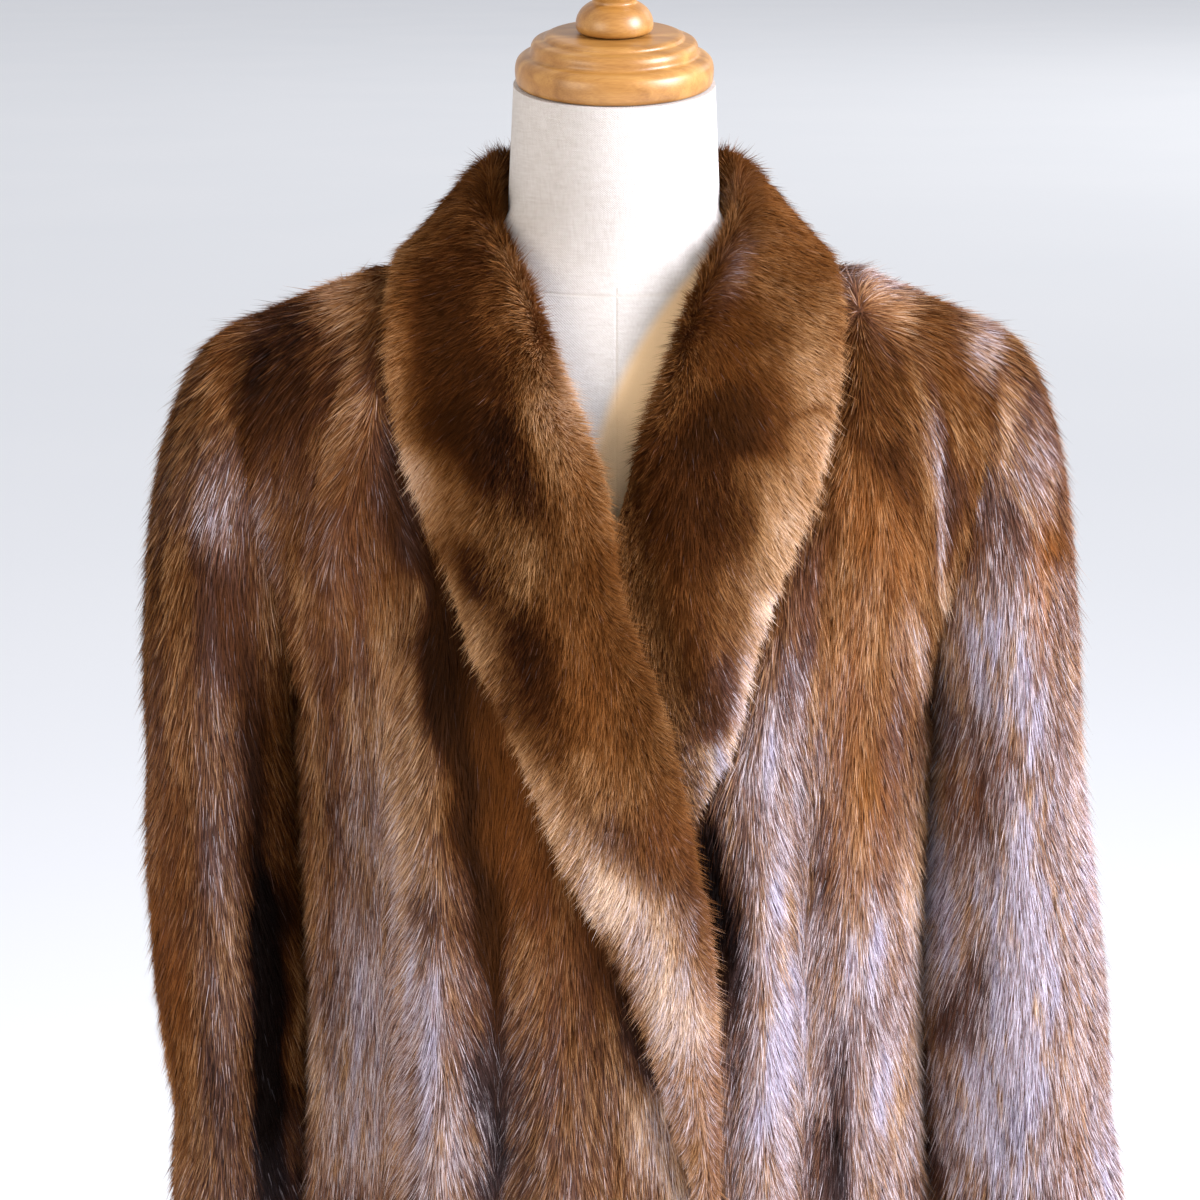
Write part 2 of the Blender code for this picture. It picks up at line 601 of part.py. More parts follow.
def sleeve_section(table, z, angle, shrink):
    inner, outer = column_at(table, "inner", z), column_at(table, "outer", z)
    middle, half = (inner + outer) / 2.0, (outer - inner) / 2.0 - shrink
    depth = column_at(table, "depth", z) - shrink
    crease = 0.0
    for fold_angle, fold_z, width, height in SLEEVE_FOLDS:
        turn = (angle / math.pi - fold_angle) * 0.10
        crease += height * math.exp(-((z - fold_z) / width) ** 2 - (turn / 0.045) ** 2)
    half += crease
    depth += crease
    return Vector((middle + half * math.cos(angle), column_at(table, "y", z) - depth * math.sin(angle),
                   z + column_at(table, "tip", z) * math.cos(angle)))


def sleeve_head(table, angle, shrink, t):
    """Runs from the armhole over the shoulder's end into the hanging sleeve."""
    top_z = table["z"][-1]
    start = armhole_point(angle, shrink) + Vector((SLEEVE_GAP, 0.0, 0.0))
    end = sleeve_section(table, top_z, angle, shrink)
    drop = math.radians(mix(84.0, 24.0, (1.0 + math.cos(angle)) / 2.0))
    reach = (end - start).length
    leave = Vector((math.cos(drop), -0.15 * math.sin(angle), -math.sin(drop))) * reach * 0.75
    arrive = (end - sleeve_section(table, top_z - 0.02, angle, shrink)).normalized() * -reach
    t2, t3 = t * t, t * t * t
    return (start * (2 * t3 - 3 * t2 + 1) + leave * (t3 - 2 * t2 + t)
            + end * (3 * t2 - 2 * t3) + arrive * (t3 - t2))


def sleeve(side, name):
    table = RIGHT_SLEEVE if side == RIGHT else LEFT_SLEEVE
    cuff_z, top_z = table["z"][0], table["z"][-1]
    grids = []
    for shrink in (PELT, 0.0):
        rows = []
        for row in range(SLEEVE_HEAD_ROWS):
            ring = [sleeve_head(table, math.tau * c / SLEEVE_POINTS, shrink, row / SLEEVE_HEAD_ROWS)
                    for c in range(SLEEVE_POINTS)]
            rows.append(ring)
        for row in range(SLEEVE_ROWS + 1):
            z = mix(top_z, cuff_z, row / SLEEVE_ROWS)
            ring = [sleeve_section(table, z, math.tau * c / SLEEVE_POINTS, shrink)
                    for c in range(SLEEVE_POINTS)]
            rows.append(ring)
        for ring in rows:
            for point in ring:
                point.x *= side
        grids.append(rows)
    return wall_object(name, grids[0], grids[1], closed_round=True)


# ---------------------------------------------------------------- dress form and stand
def level_ring(z, side, front, back, y=0.0, power=2.1, lean=0.0):
    ring = []
    for k in range(FORM_POINTS):
        angle = math.tau * k / FORM_POINTS
        c, s = math.cos(angle), math.sin(angle)
        depth = back if s > 0.0 else front
        dx = side * math.copysign(abs(c) ** (2.0 / power), c)
        dy = depth * math.copysign(abs(s) ** (2.0 / power), s)
        ring.append(Vector((dx, y + dy, z + dy * math.tan(lean))))
    return ring


def form_shoulder_reach(z):
    """Half width where the shoulders reach height z, just under the coat's wall."""
    under = PELT / math.cos(SHOULDER_SLOPE) + FORM_SHOULDER_PLAY
    return SHOULDER_X - (z + under - SHOULDER_Z) / math.tan(SHOULDER_SLOPE)


def neck_middle_y(z):
    return FORM_NECK_Y - (z - FORM_NECK["z"][0]) * math.tan(FORM_NECK_LEAN)


def dress_form():
    rings = []
    for k, z in enumerate(FORM["z"]):
        rings.append(level_ring(z, FORM["side"][k], FORM["front"][k], FORM["back"][k],
                                power=FORM["power"][k]))
    for k, z in enumerate(FORM_SHOULDER["z"]):
        rings.append(level_ring(z, form_shoulder_reach(z), FORM_SHOULDER["front"][k],
                                FORM_SHOULDER["back"][k], power=FORM_SHOULDER["power"][k]))
    for k, z in enumerate(FORM_NECK["z"]):
        radius = FORM_NECK["side"][k]
        lean = FORM_NECK_LEAN * k / (len(FORM_NECK["z"]) - 1)
        rings.append(level_ring(z, radius, radius, radius, y=neck_middle_y(z), power=2.0, lean=lean))
    return loft_object("dress_form", rings)


def turned_object(name, profile, steps=32):
    """A profile of (radius, height) points turned about the Z axis with a Screw modifier."""
    mesh = bpy.data.meshes.new(name)
    points = [(radius, 0.0, height) for radius, height in reversed(profile)]
    mesh.from_pydata(points, [(k, k + 1) for k in range(len(points) - 1)], [])
    obj = bpy.data.objects.new(name, mesh)
    screw = obj.modifiers.new("turn", "SCREW")
    screw.axis = "Z"
    screw.steps = steps
    screw.render_steps = steps
    screw.use_merge_vertices = True
    screw.merge_threshold = 0.00001
    screw.use_smooth_shade = True
    return obj


def place_on_neck(obj, height):
    """Stands a turned piece on the leaning top of the neck, height above its cut."""
    top_z = FORM_NECK["z"][-1]
    axis = Vector((0.0, -math.sin(FORM_NECK_LEAN), math.cos(FORM_NECK_LEAN)))
    obj.location = Vector((0.0, neck_middle_y(top_z), top_z)) + axis * height
    obj.rotation_euler = (FORM_NECK_LEAN, 0.0, 0.0)


def stand_pole():
    top = FORM["z"][0] - SEAM_GAP
    foot = BASE_THICK + SEAM_GAP
    profile = ((0.0, foot), (POLE_RADIUS, foot), (POLE_RADIUS, top - FLANGE_THICK),
               (FLANGE_RADIUS, top - FLANGE_THICK), (FLANGE_RADIUS, top), (0.0, top))
    return turned_object("stand_pole", profile, steps=24)


def stand_base():
    bpy.ops.mesh.primitive_cylinder_add(vertices=64, radius=BASE_RADIUS, depth=BASE_THICK,
                                        location=(0.0, 0.0, BASE_THICK / 2.0))
    obj = bpy.context.active_object
    obj.name = "stand_base"
    bevel = obj.modifiers.new("soft_rim", "BEVEL")
    bevel.width = BASE_BEVEL
    bevel.segments = 2
    bevel.limit_method = "ANGLE"
    return obj


# ---------------------------------------------------------------- materials
def material(name, colour, roughness, metallic=0.0):
    mat = bpy.data.materials.new(name)
    mat.use_nodes = True
    shader = mat.node_tree.nodes["Principled BSDF"]
    shader.inputs["Base Color"].default_value = (*colour, 1.0)
    shader.inputs["Roughness"].default_value = roughness
    shader.inputs["Metallic"].default_value = metallic
    return mat


def main():
    for obj in list(bpy.data.objects):
        bpy.data.objects.remove(obj, do_unlink=True)
    coat = bpy.data.collections.new("fur_coat_on_form")
    bpy.context.scene.collection.children.link(coat)

    cap = turned_object("neck_cap", CAP_PROFILE)
    place_on_neck(cap, SEAM_GAP)
    finial = turned_object("finial", FINIAL_PROFILE, steps=24)
    place_on_neck(finial, CAP_PROFILE[-1][1] + 2 * SEAM_GAP)

    pieces = (
        (wall_object("front_right", *front_points(RIGHT)), (0.105, 0.042, 0.020), 0.55, 0.0),
        (wall_object("front_left", *front_points(LEFT)), (0.130, 0.060, 0.036), 0.55, 0.0),
        (wall_object("back", *back_points()), (0.095, 0.040, 0.022), 0.55, 0.0),
        (sleeve(RIGHT, "sleeve_right"), (0.085, 0.038, 0.022), 0.55, 0.0),
        (sleeve(LEFT, "sleeve_left"), (0.140, 0.080, 0.062), 0.55, 0.0),
        (collar(RIGHT, "collar_right"), (0.150, 0.062, 0.026), 0.60, 0.0),
        (collar(LEFT, "collar_left"), (0.165, 0.072, 0.032), 0.60, 0.0),
        (dress_form(), (0.760, 0.700, 0.610), 0.85, 0.0),
        (cap, (0.560, 0.270, 0.085), 0.35, 0.0),
        (finial, (0.580, 0.285, 0.090), 0.33, 0.0),
        (stand_pole(), (0.720, 0.720, 0.710), 0.30, 1.0),
        (stand_base(), (0.640, 0.630, 0.610), 0.45, 0.0),
    )
    for obj, colour, roughness, metallic in pieces:
        for holder in list(obj.users_collection):
            holder.objects.unlink(obj)
        coat.objects.link(obj)
        obj.data.materials.clear()
        obj.data.materials.append(material(obj.name + "_finish", colour, roughness, metallic))
        obj.data.shade_smooth()
        obj.data.set_sharp_from_angle(angle=math.radians(50.0))


main()
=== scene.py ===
# Looks of a mink coat with a shawl collar, worn by a linen dress form on a round stand.
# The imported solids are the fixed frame. Each fur panel becomes a thin pelt with its hairs on it.
import math

import bmesh
import bpy
import numpy as np
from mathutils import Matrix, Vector


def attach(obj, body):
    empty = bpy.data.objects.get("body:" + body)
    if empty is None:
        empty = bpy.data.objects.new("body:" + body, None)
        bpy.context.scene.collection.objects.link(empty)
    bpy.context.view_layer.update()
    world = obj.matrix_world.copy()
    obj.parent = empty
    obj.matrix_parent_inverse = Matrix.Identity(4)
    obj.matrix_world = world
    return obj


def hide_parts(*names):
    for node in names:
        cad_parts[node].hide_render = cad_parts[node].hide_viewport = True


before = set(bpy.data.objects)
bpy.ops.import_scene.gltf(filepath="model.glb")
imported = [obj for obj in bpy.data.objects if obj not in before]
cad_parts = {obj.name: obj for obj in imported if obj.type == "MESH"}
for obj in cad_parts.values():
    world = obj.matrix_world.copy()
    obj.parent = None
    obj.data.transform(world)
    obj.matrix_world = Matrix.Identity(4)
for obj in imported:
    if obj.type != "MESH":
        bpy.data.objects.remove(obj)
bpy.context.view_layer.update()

front, back = -1, 1
right, left = -1, 1    # the wearer's

# The coat's cut, in metres, as the solids have it.
coat = {
    "seamGap": 0.0003, "furGap": 0.00004, "layerGap": 0.0010, "lapGap": 0.0045, "lapRise": 0.0050,
    "pelt": 0.012, "pressedPelt": 0.0045,
    "hemZ": 0.470, "underarmZ": 1.130, "roundness": 2.3,
    "shoulderX": 0.205, "shoulderZ": 1.328, "neckX": 0.060, "neckZ": 1.389,
    "chestRound": (2.6, 1.9), "backRound": (3.0, 2.0),
    "armholeFront": 0.072, "armholeBack": 0.078, "armholeLean": 1.15, "yokeRise": 1.3,
    "backNeckDip": 0.23, "backCollarDip": 0.39, "frontNeckDip": 0.10, "necklineRound": 2.6,
    "collarShoulderX": 0.116, "rollChest": 0.0160, "rollShoulder": 0.036, "rollBack": 0.058,
    "rimChest": 0.0090, "rimNeck": 0.0075, "bulgeChest": 0.0025, "bulgeBack": 0.0060,
    "rightCollarEnd": 0.845, "leftCollarEnd": 1.030, "lapTop": 1.256, "yokeRound": 2.4, "yokeBlend": 0.35,
}
# Where one panel passes over another, each from where it starts to where it is whole: in x, in height
# above the top of the lap or the left collar's end, or in distance beyond the right front's edge.
lap = {
    "side": (-0.082, -0.062), "fade": (0.020, 0.060), "tuck": (-0.034, -0.008), "beside": (0.004, 0.032),
    "besideFade": (0.0, 0.030), "squash": (0.017, 0.031), "squashFade": (0.012, 0.050),
}
bodyTable = {
    "z":     (0.470, 0.600, 0.740, 0.860, 0.950, 1.040, 1.130),
    "side":  (0.226, 0.204, 0.181, 0.172, 0.170, 0.170, 0.172),
    "front": (0.196, 0.178, 0.158, 0.147, 0.141, 0.137, 0.134),
    "back":  (0.186, 0.172, 0.154, 0.144, 0.139, 0.137, 0.138),
}
rightFront = {
    "z":      (0.470, 0.840, 0.936, 1.008, 1.065, 1.137, 1.180, 1.205, 1.258, 1.303, 1.351, 1.389),
    "edge":   (0.056, 0.056, 0.055, 0.052, 0.043, 0.028, 0.014, 0.004, -0.003, -0.020, -0.038, -0.060),
    "collar": (0.020, 0.046, 0.024, 0.001, -0.027, -0.055, -0.075, -0.086, -0.108, -0.117, -0.120, -0.116),
}
leftFront = {
    "z":      (0.470, 0.860, 1.030, 1.071, 1.129, 1.180, 1.222, 1.256, 1.299, 1.349, 1.389),
    "edge":   (-0.030, -0.030, -0.028, -0.023, -0.016, -0.011, -0.006, 0.001, 0.016, 0.036, 0.060),
    "collar": (0.072, 0.064, 0.038, 0.043, 0.065, 0.078, 0.094, 0.107, 0.117, 0.121, 0.116),
}
# Folds: a line from (x0, z0) to (x1, z1), its half width, and its height or depth.
frontFolds = (
    (-0.130, 0.470, -0.126, 1.200, 0.015, -0.0080),
    (-0.094, 0.470, -0.092, 1.260, 0.021, 0.0100),
    (-0.058, 0.470, -0.064, 1.190, 0.015, -0.0090),
    (-0.022, 0.470, -0.028, 1.080, 0.017, 0.0045),
    (0.084, 0.470, 0.078, 1.140, 0.014, 0.0050),
    (0.110, 0.470, 0.102, 1.240, 0.014, -0.0085),
    (0.138, 0.470, 0.137, 1.300, 0.016, 0.0075),
    (-0.112, 1.330, -0.150, 1.200, 0.013, 0.0055),
    (-0.096, 1.230, -0.122, 1.120, 0.014, -0.0035),
    (0.128, 1.320, 0.146, 1.200, 0.014, 0.0045),
    (0.114, 1.200, 0.122, 1.100, 0.015, -0.0035),
)
backFolds = (
    (-0.120, 0.470, -0.100, 1.060, 0.024, 0.0080),
    (-0.074, 0.470, -0.066, 1.000, 0.020, -0.0065),
    (-0.028, 0.470, -0.024, 0.940, 0.022, 0.0060),
    (0.022, 0.470, 0.018, 1.020, 0.020, -0.0060),
    (0.072, 0.470, 0.064, 1.080, 0.024, 0.0075),
    (0.122, 0.470, 0.108, 0.980, 0.020, -0.0065),
    (-0.130, 1.280, -0.090, 1.180, 0.016, 0.0035),
    (0.130, 1.290, 0.096, 1.170, 0.016, 0.0035),
)
rightSleeve = {
    "z":     (0.740, 0.810, 0.870, 0.935, 1.000, 1.066, 1.136),
    "tip":   (0.000, 0.000, 0.000, 0.002, 0.010, 0.028, 0.054),
    "inner": (0.190, 0.184, 0.177, 0.1745, 0.1745, 0.1755, 0.1775),
    "outer": (0.252, 0.255, 0.257, 0.260, 0.265, 0.266, 0.260),
    "y":     (-0.016, -0.012, -0.010, -0.006, -0.002, 0.000, 0.002),
    "depth": (0.074, 0.076, 0.077, 0.078, 0.080, 0.081, 0.080),
}
leftSleeve = {
    "z": rightSleeve["z"], "tip": rightSleeve["tip"],
    "inner": (0.200, 0.192, 0.183, 0.1765, 0.1745, 0.1755, 0.1775),
    "outer": (0.300, 0.297, 0.291, 0.283, 0.274, 0.266, 0.256),
    "y":     (-0.020, -0.016, -0.012, -0.008, -0.004, 0.000, 0.002),
    "depth": (0.066, 0.068, 0.070, 0.073, 0.077, 0.080, 0.080),
}
# How much height counts in a fold's reach, and from which share of its line a long one fades.
foldShape = {"upward": 0.4, "fadeFrom": 0.72, "long": 0.2}
# Creases across a sleeve: half turns from its outer side through the front, z, width, height.
sleeveFolds = (
    (0.35, 1.060, 0.030, -0.0045),
    (0.55, 0.960, 0.026, 0.0035),
    (0.20, 0.880, 0.024, -0.0040),
    (0.75, 0.820, 0.026, 0.0035),
)


def smooth(low, high, value):
    t = min(max((value - low) / (high - low), 0.0), 1.0)
    return t * t * (3.0 - 2.0 * t)


def mix(a, b, t):
    return a + (b - a) * t


def curved(start, leave, end, arrive, t):    # a cubic that leaves and arrives at these slopes
    t2, t3 = t * t, t * t * t
    return (start * (2 * t3 - 3 * t2 + 1) + leave * (t3 - 2 * t2 + t)
            + end * (3 * t2 - 2 * t3) + arrive * (t3 - t2))


def columnAt(table, name, z):    # a curve through a table's column
    heights, values = table["z"], table[name]
    last = len(heights) - 1
    z = min(max(z, heights[0]), heights[last])
    i = max(k for k in range(last) if heights[k] <= z)
    span = heights[i + 1] - heights[i]
    t = (z - heights[i]) / span

    def slope(k):
        low, high = max(k - 1, 0), min(k + 1, last)
        return (values[high] - values[low]) / (heights[high] - heights[low]) * span

    return curved(values[i], slope(i), values[i + 1], slope(i + 1), t)


# A place on the body is (turn, level): turn from -90 degrees at the right side over 0 in the
# middle to 90 at the left, level 0..1 from hem to underarm and 1..2 on to the shoulder seam.
def sideReach(level):
    if level <= 1.0:
        return columnAt(bodyTable, "side", mix(coat["hemZ"], coat["underarmZ"], level))
    rise = (1.0 - math.cos(math.pi * (level - 1.0))) / 2.0
    return mix(bodyTable["side"][-1], coat["shoulderX"], rise ** coat["armholeLean"])


def turnAt(x, level):
    ratio = min(abs(x) / sideReach(level), 1.0)
    return math.copysign(math.asin(ratio ** (coat["roundness"] / 2.0)), x)


def foldsAt(x, z, facing):
    total = 0.0
    for x0, z0, x1, z1, width, height in (frontFolds if facing == front else backFolds):
        along = ((x - x0) * (x1 - x0) + (z - z0) * (z1 - z0)) / ((x1 - x0) ** 2 + (z1 - z0) ** 2)
        held = min(max(along, 0.0), 1.0)
        away = math.hypot(x - mix(x0, x1, held), (z - mix(z0, z1, held)) * foldShape["upward"])
        fade = smooth(1.0, foldShape["fadeFrom"], along) if abs(z1 - z0) > foldShape["long"] else 1.0
        total += height * fade * math.exp(-(away / width) ** 2)
    return total


def barePoint(turn, level, facing):    # the body's surface without folds
    reach = sideReach(level)
    ratio = abs(math.sin(turn)) ** (2.0 / coat["roundness"])
    x = math.copysign(reach * ratio, turn)
    roundOff = max(math.cos(turn), 0.0) ** (2.0 / coat["roundness"])
    if level <= 1.0:
        z = mix(coat["hemZ"], coat["underarmZ"], level)
        depth = columnAt(bodyTable, "front" if facing == front else "back", z)
        return Vector((x, facing * depth * roundOff, z))
    tau = min(level - 1.0, 1.0)
    angle = math.pi * tau
    middle = (coat["shoulderZ"] + coat["underarmZ"]) / 2
    edgeZ = middle - (coat["shoulderZ"] - middle) * math.cos(angle)
    edgeY = (coat["armholeFront"] if facing == front else coat["armholeBack"]) * math.sin(angle)
    rise = math.sin(angle / 2.0) ** coat["yokeRise"]
    middleZ = mix(coat["underarmZ"], coat["neckZ"], rise)
    power, root = coat["chestRound"] if facing == front else coat["backRound"]
    chest = bodyTable["front" if facing == front else "back"][-1]
    depth = chest * max(1.0 - rise ** power, 0.0) ** (1.0 / root)
    across = mix(roundOff, 1.0 - ratio ** coat["yokeRound"], smooth(0.0, coat["yokeBlend"], tau))
    y = mix(edgeY, depth, across)
    z = mix(middleZ, edgeZ, max(abs(x) - coat["neckX"], 0.0) / (reach - coat["neckX"]))
    return Vector((x, facing * y, z))


def seamDirection(turn, level, facing):    # outward direction of the wall at side seam and armhole
    if level > 1.0:
        angle = math.pi * (level - 1.0)
        return Vector((0.0, facing * math.sin(angle), -math.cos(angle)))
    bend = smooth(coat["underarmZ"] - 0.030, coat["underarmZ"], mix(coat["hemZ"], coat["underarmZ"], level))
    return Vector((math.copysign(1.0 - bend, turn), 0.0, -bend)).normalized()


# Where the outward direction turns: at the shoulder's crest in levels, round the neck in shares of its
# opening, and towards the seams in shares of the reach, above and below the underarm. Folds end there too.
bodyTurns = {"crest": (1.86, 2.0), "neck": (1.0, 1.35), "seamTop": (0.86, 1.0), "seamLow": (0.97, 1.0),
             "foldEnd": (0.88, 1.0)}


def bodyFrame(turn, level, facing):    # point and outward direction, folds included
    stepTurn, stepLevel = 0.03, 0.02
    onLeft = barePoint(min(turn + stepTurn, math.pi / 2), level, facing)
    onRight = barePoint(max(turn - stepTurn, -math.pi / 2), level, facing)
    upper = barePoint(turn, min(level + stepLevel, 2.0), facing)
    lower = barePoint(turn, max(level - stepLevel, 0.0), facing)
    point = barePoint(turn, level, facing)
    normal = (onLeft - onRight).cross(upper - lower) * -facing
    if normal.length < 1e-12:
        normal = Vector((0.0, facing, 0.0))
    normal.normalize()
    if level > 1.0:
        dip = coat["backNeckDip"] if facing == back else coat["frontNeckDip"]
        away = math.hypot(point.x / coat["neckX"], (2.0 - level) / dip)
        slope = math.atan((coat["neckZ"] - coat["shoulderZ"]) / (coat["shoulderX"] - coat["neckX"]))
        crest = Vector((math.copysign(math.sin(slope), point.x), 0.0, math.cos(slope)))
        normal = normal.lerp(crest, smooth(*bodyTurns["crest"], level)).normalized()
        normal = normal.lerp(Vector((0.0, 0.0, 1.0)), 1.0 - smooth(*bodyTurns["neck"], away)).normalized()
    ratio = abs(point.x) / sideReach(level)
    nearEdge = smooth(*bodyTurns["seamTop" if level > 0.9 else "seamLow"], ratio)
    if nearEdge > 0.0:
        normal = normal.lerp(seamDirection(turn, level, facing), nearEdge).normalized()
    fold = foldsAt(point.x, point.z, facing) * (1.0 - smooth(*bodyTurns["foldEnd"], ratio))
    return point + normal * fold, normal


def keptApart(point, facing):    # a front stays before, and the back behind, the seam plane
    limit = coat["furGap"] / 2.0
    point.y = min(point.y, -limit) if facing == front else max(point.y, limit)
    return point


def frontTable(side):
    return rightFront if side == right else leftFront


def xOnRow(side, name, level):    # where a front's edge or collar line crosses a row
    x = columnAt(frontTable(side), name, coat["hemZ"])
    for _ in range(12):
        x = columnAt(frontTable(side), name, barePoint(turnAt(x, level), level, front).z)
    return x


def inLap(x, z):
    return smooth(*lap["side"], x) * (1.0 - smooth(*lap["fade"], z - coat["lapTop"]))


def overTuck(x, z):
    return inLap(x, z) * smooth(*lap["tuck"], z - coat["leftCollarEnd"])


def besideLap(x, z):
    beyond = x - columnAt(rightFront, "edge", z)
    return (1.0 - smooth(*lap["beside"], beyond)) * (1.0 - smooth(*lap["besideFade"], z - coat["lapTop"]))


def squashed(x, z):    # where the left collar goes in under the right one
    beyond = x - columnAt(rightFront, "edge", z)
    return (1.0 - smooth(*lap["squash"], beyond)) * (1.0 - smooth(*lap["squashFade"], z - coat["lapTop"]))


def frontLayers(side, x, z, underCollar):    # heights of a front's inner and outer face
    inner, outer = -coat["pelt"], 0.0
    pressed = coat["pressedPelt"] - coat["pelt"]
    if side == left:
        return inner, mix(outer, pressed, max(underCollar, besideLap(x, z)))
    inner = mix(inner, pressed + coat["lapGap"], inLap(x, z))
    inner = mix(inner, pressed + coat["pressedPelt"] + 2 * coat["layerGap"], overTuck(x, z))
    outer = mix(outer, coat["lapRise"], inLap(x, z))
    return inner, mix(outer, inner + coat["pressedPelt"], underCollar)


def underBackCollar(x, level):
    if level <= 1.0:
        return 0.0
    away = math.hypot(x / coat["collarShoulderX"], (2.0 - level) / coat["backCollarDip"])
    return 1.0 - smooth(1.10, 1.30, away)


# Thin walls between two grids of points, and the fields that lie on their fur side.
def gridOf(points):
    grid = np.asarray(points, dtype=float)
    return grid.reshape(grid.shape[0], grid.shape[1], 3)


def panelOf(rows):    # rows of places, each a pelt point, a root, an outward direction and a cover
    inner, root, bare, cover = [[[place[k] for place in row] for row in rows] for k in range(4)]
    return {"inner": gridOf(inner), "root": gridOf(root), "bare": gridOf(bare), "cover": np.array(cover),
            "closed": False}


def unit(vectors):
    size = np.linalg.norm(vectors, axis=-1, keepdims=True)
    return vectors / np.maximum(size, 1e-9)


def gridNormals(points, outward, closed):    # smooth normals of a grid, on the outward side
    if closed:
        padded = np.concatenate([points[:, -1:], points, points[:, :1]], axis=1)
        along = (padded[:, 2:] - padded[:, :-2])
    else:
        along = np.gradient(points, axis=1)
    down = np.gradient(points, axis=0)
    normal = unit(np.cross(along, down))
    sign = np.sign(np.sum(normal * outward, axis=-1, keepdims=True))
    return normal * np.where(sign == 0.0, 1.0, sign)


def onSurface(vectors, normals):    # the part of a vector field that lies in the surface
    flat = vectors - normals * np.sum(vectors * normals, axis=-1, keepdims=True)
    return unit(flat)


def addObject(name, data):
    piece = bpy.data.objects.new(name, data)
    bpy.context.scene.collection.objects.link(piece)
    return piece


def turnedOutwards(mesh, sharp):    # smooth, but for edges sharper than this angle
    bm = bmesh.new()
    bm.from_mesh(mesh)
    bmesh.ops.recalc_face_normals(bm, faces=bm.faces)
    bm.to_mesh(mesh)
    bm.free()
    mesh.shade_smooth()
    mesh.set_sharp_from_angle(angle=math.radians(sharp))


def gridFaces(rows, columns, closed):
    faces = []
    for low in range(0, (rows - 1) * columns, columns):
        for c in range(columns if closed else columns - 1):
            d = (c + 1) % columns
            faces.append((low + c, low + d, low + columns + d, low + columns + c))
    return faces


def wallObject(name, inner, outer, closed):
    mesh = bpy.data.meshes.new(name)
    rows, columns = outer.shape[:2]
    points = np.concatenate([outer.reshape(-1, 3), inner.reshape(-1, 3)])
    half = rows * columns
    faces = []
    for a, b, c, d in gridFaces(rows, columns, closed):
        faces += [(a, b, c, d), (half + a, half + d, half + c, half + b)]
    top = half - columns
    for c in range(columns if closed else columns - 1):
        d = (c + 1) % columns
        faces += [(half + c, half + d, d, c), (top + c, top + d, half + top + d, half + top + c)]
    if not closed:
        last = columns - 1
        for low in range(0, top, columns):
            high = low + columns
            faces += [(low, high, half + high, half + low),
                      (half + low + last, half + high + last, high + last, low + last)]
    mesh.from_pydata(points.tolist(), [], faces)
    turnedOutwards(mesh, 60.0)
    return addObject(name, mesh)


def rootObject(name, panel):    # the fur side alone, carrying the fields that the hairs follow
    mesh = bpy.data.meshes.new(name)
    faces = gridFaces(*panel["root"].shape[:2], panel["closed"])
    mesh.from_pydata(panel["root"].reshape(-1, 3).tolist(), [], faces)
    for field, kind in (("flow", "FLOAT_VECTOR"), ("out", "FLOAT_VECTOR"), ("cover", "FLOAT"),
                        ("lift", "FLOAT"), ("size", "FLOAT"), ("broad", "FLOAT")):
        layer = mesh.attributes.new(field, kind, "POINT")
        values = panel[field].reshape(-1).astype(np.float32)
        layer.data.foreach_set("vector" if kind == "FLOAT_VECTOR" else "value", values)
    return addObject(name, mesh)


def coveredArea(panel):
    p, w = panel["root"], panel["cover"]
    if panel["closed"]:
        p = np.concatenate([p, p[:, :1]], axis=1)
        w = np.concatenate([w, w[:, :1]], axis=1)
    first = np.cross(p[1:, :-1] - p[:-1, :-1], p[1:, 1:] - p[:-1, :-1])
    second = np.cross(p[1:, 1:] - p[:-1, :-1], p[:-1, 1:] - p[:-1, :-1])
    area = (np.linalg.norm(first, axis=-1) + np.linalg.norm(second, axis=-1)) / 2.0
    share = (w[1:, :-1] + w[:-1, :-1] + w[1:, 1:] + w[:-1, 1:]) / 4.0
    return float(np.sum(area * share))


# The fur: how far the hairs stand off the pelt, and where their roots lie in the wall.
nap = {"root": 0.0052, "side": -0.0030, "leather": 0.0012, "edge": 0.0045, "hem": 0.005, "lift": 0.34,
       "sparse": 0.50, "lowSwell": 0.4, "broad": 1.7, "seenFrom": (0.835, 0.875)}


def rootHeight(inner, outer, depth):
    return max(outer - depth, inner + nap["leather"])


def sideNap(x, level):    # fur stands fuller where body and sleeve press against each other
    fuller = smooth(0.86, 0.98, abs(x) / sideReach(level)) * (1.0 - smooth(1.0, 1.2, level))
    return mix(nap["root"], nap["side"], fuller * (1.0 + nap["lowSwell"] * (1.0 - smooth(0.5, 0.75, level))))


def thinned(panel, weight):    # fewer and broader hairs where weight is 1
    panel["cover"] = panel["cover"] * (1.0 - (1.0 - nap["sparse"]) * weight)
    panel["broad"] = 1.0 + (nap["broad"] - 1.0) * weight


def lowPart(panel):
    low, high = nap["seenFrom"]
    return 1.0 - np.clip((panel["root"][..., 2] - low) / (high - low), 0.0, 1.0)


def finished(panel, comb, outward):    # adds the fields every panel needs to its points
    normals = gridNormals(panel["root"], panel["bare"], panel["closed"])
    panel["out"] = normals
    down = np.zeros_like(normals)
    down[..., 2] = -1.0
    lean = normals - panel["bare"] * np.sum(normals * panel["bare"], axis=-1, keepdims=True)
    panel["flow"] = onSurface(down + lean * comb + outward, normals)
    panel.setdefault("lift", np.full(normals.shape[:2], nap["lift"]))
    panel.setdefault("size", np.ones(normals.shape[:2]))
    thinned(panel, lowPart(panel))
    return panel


whorl = {"at": (0.130, -0.047, 1.341), "reach": 0.030, "pull": 2.2}


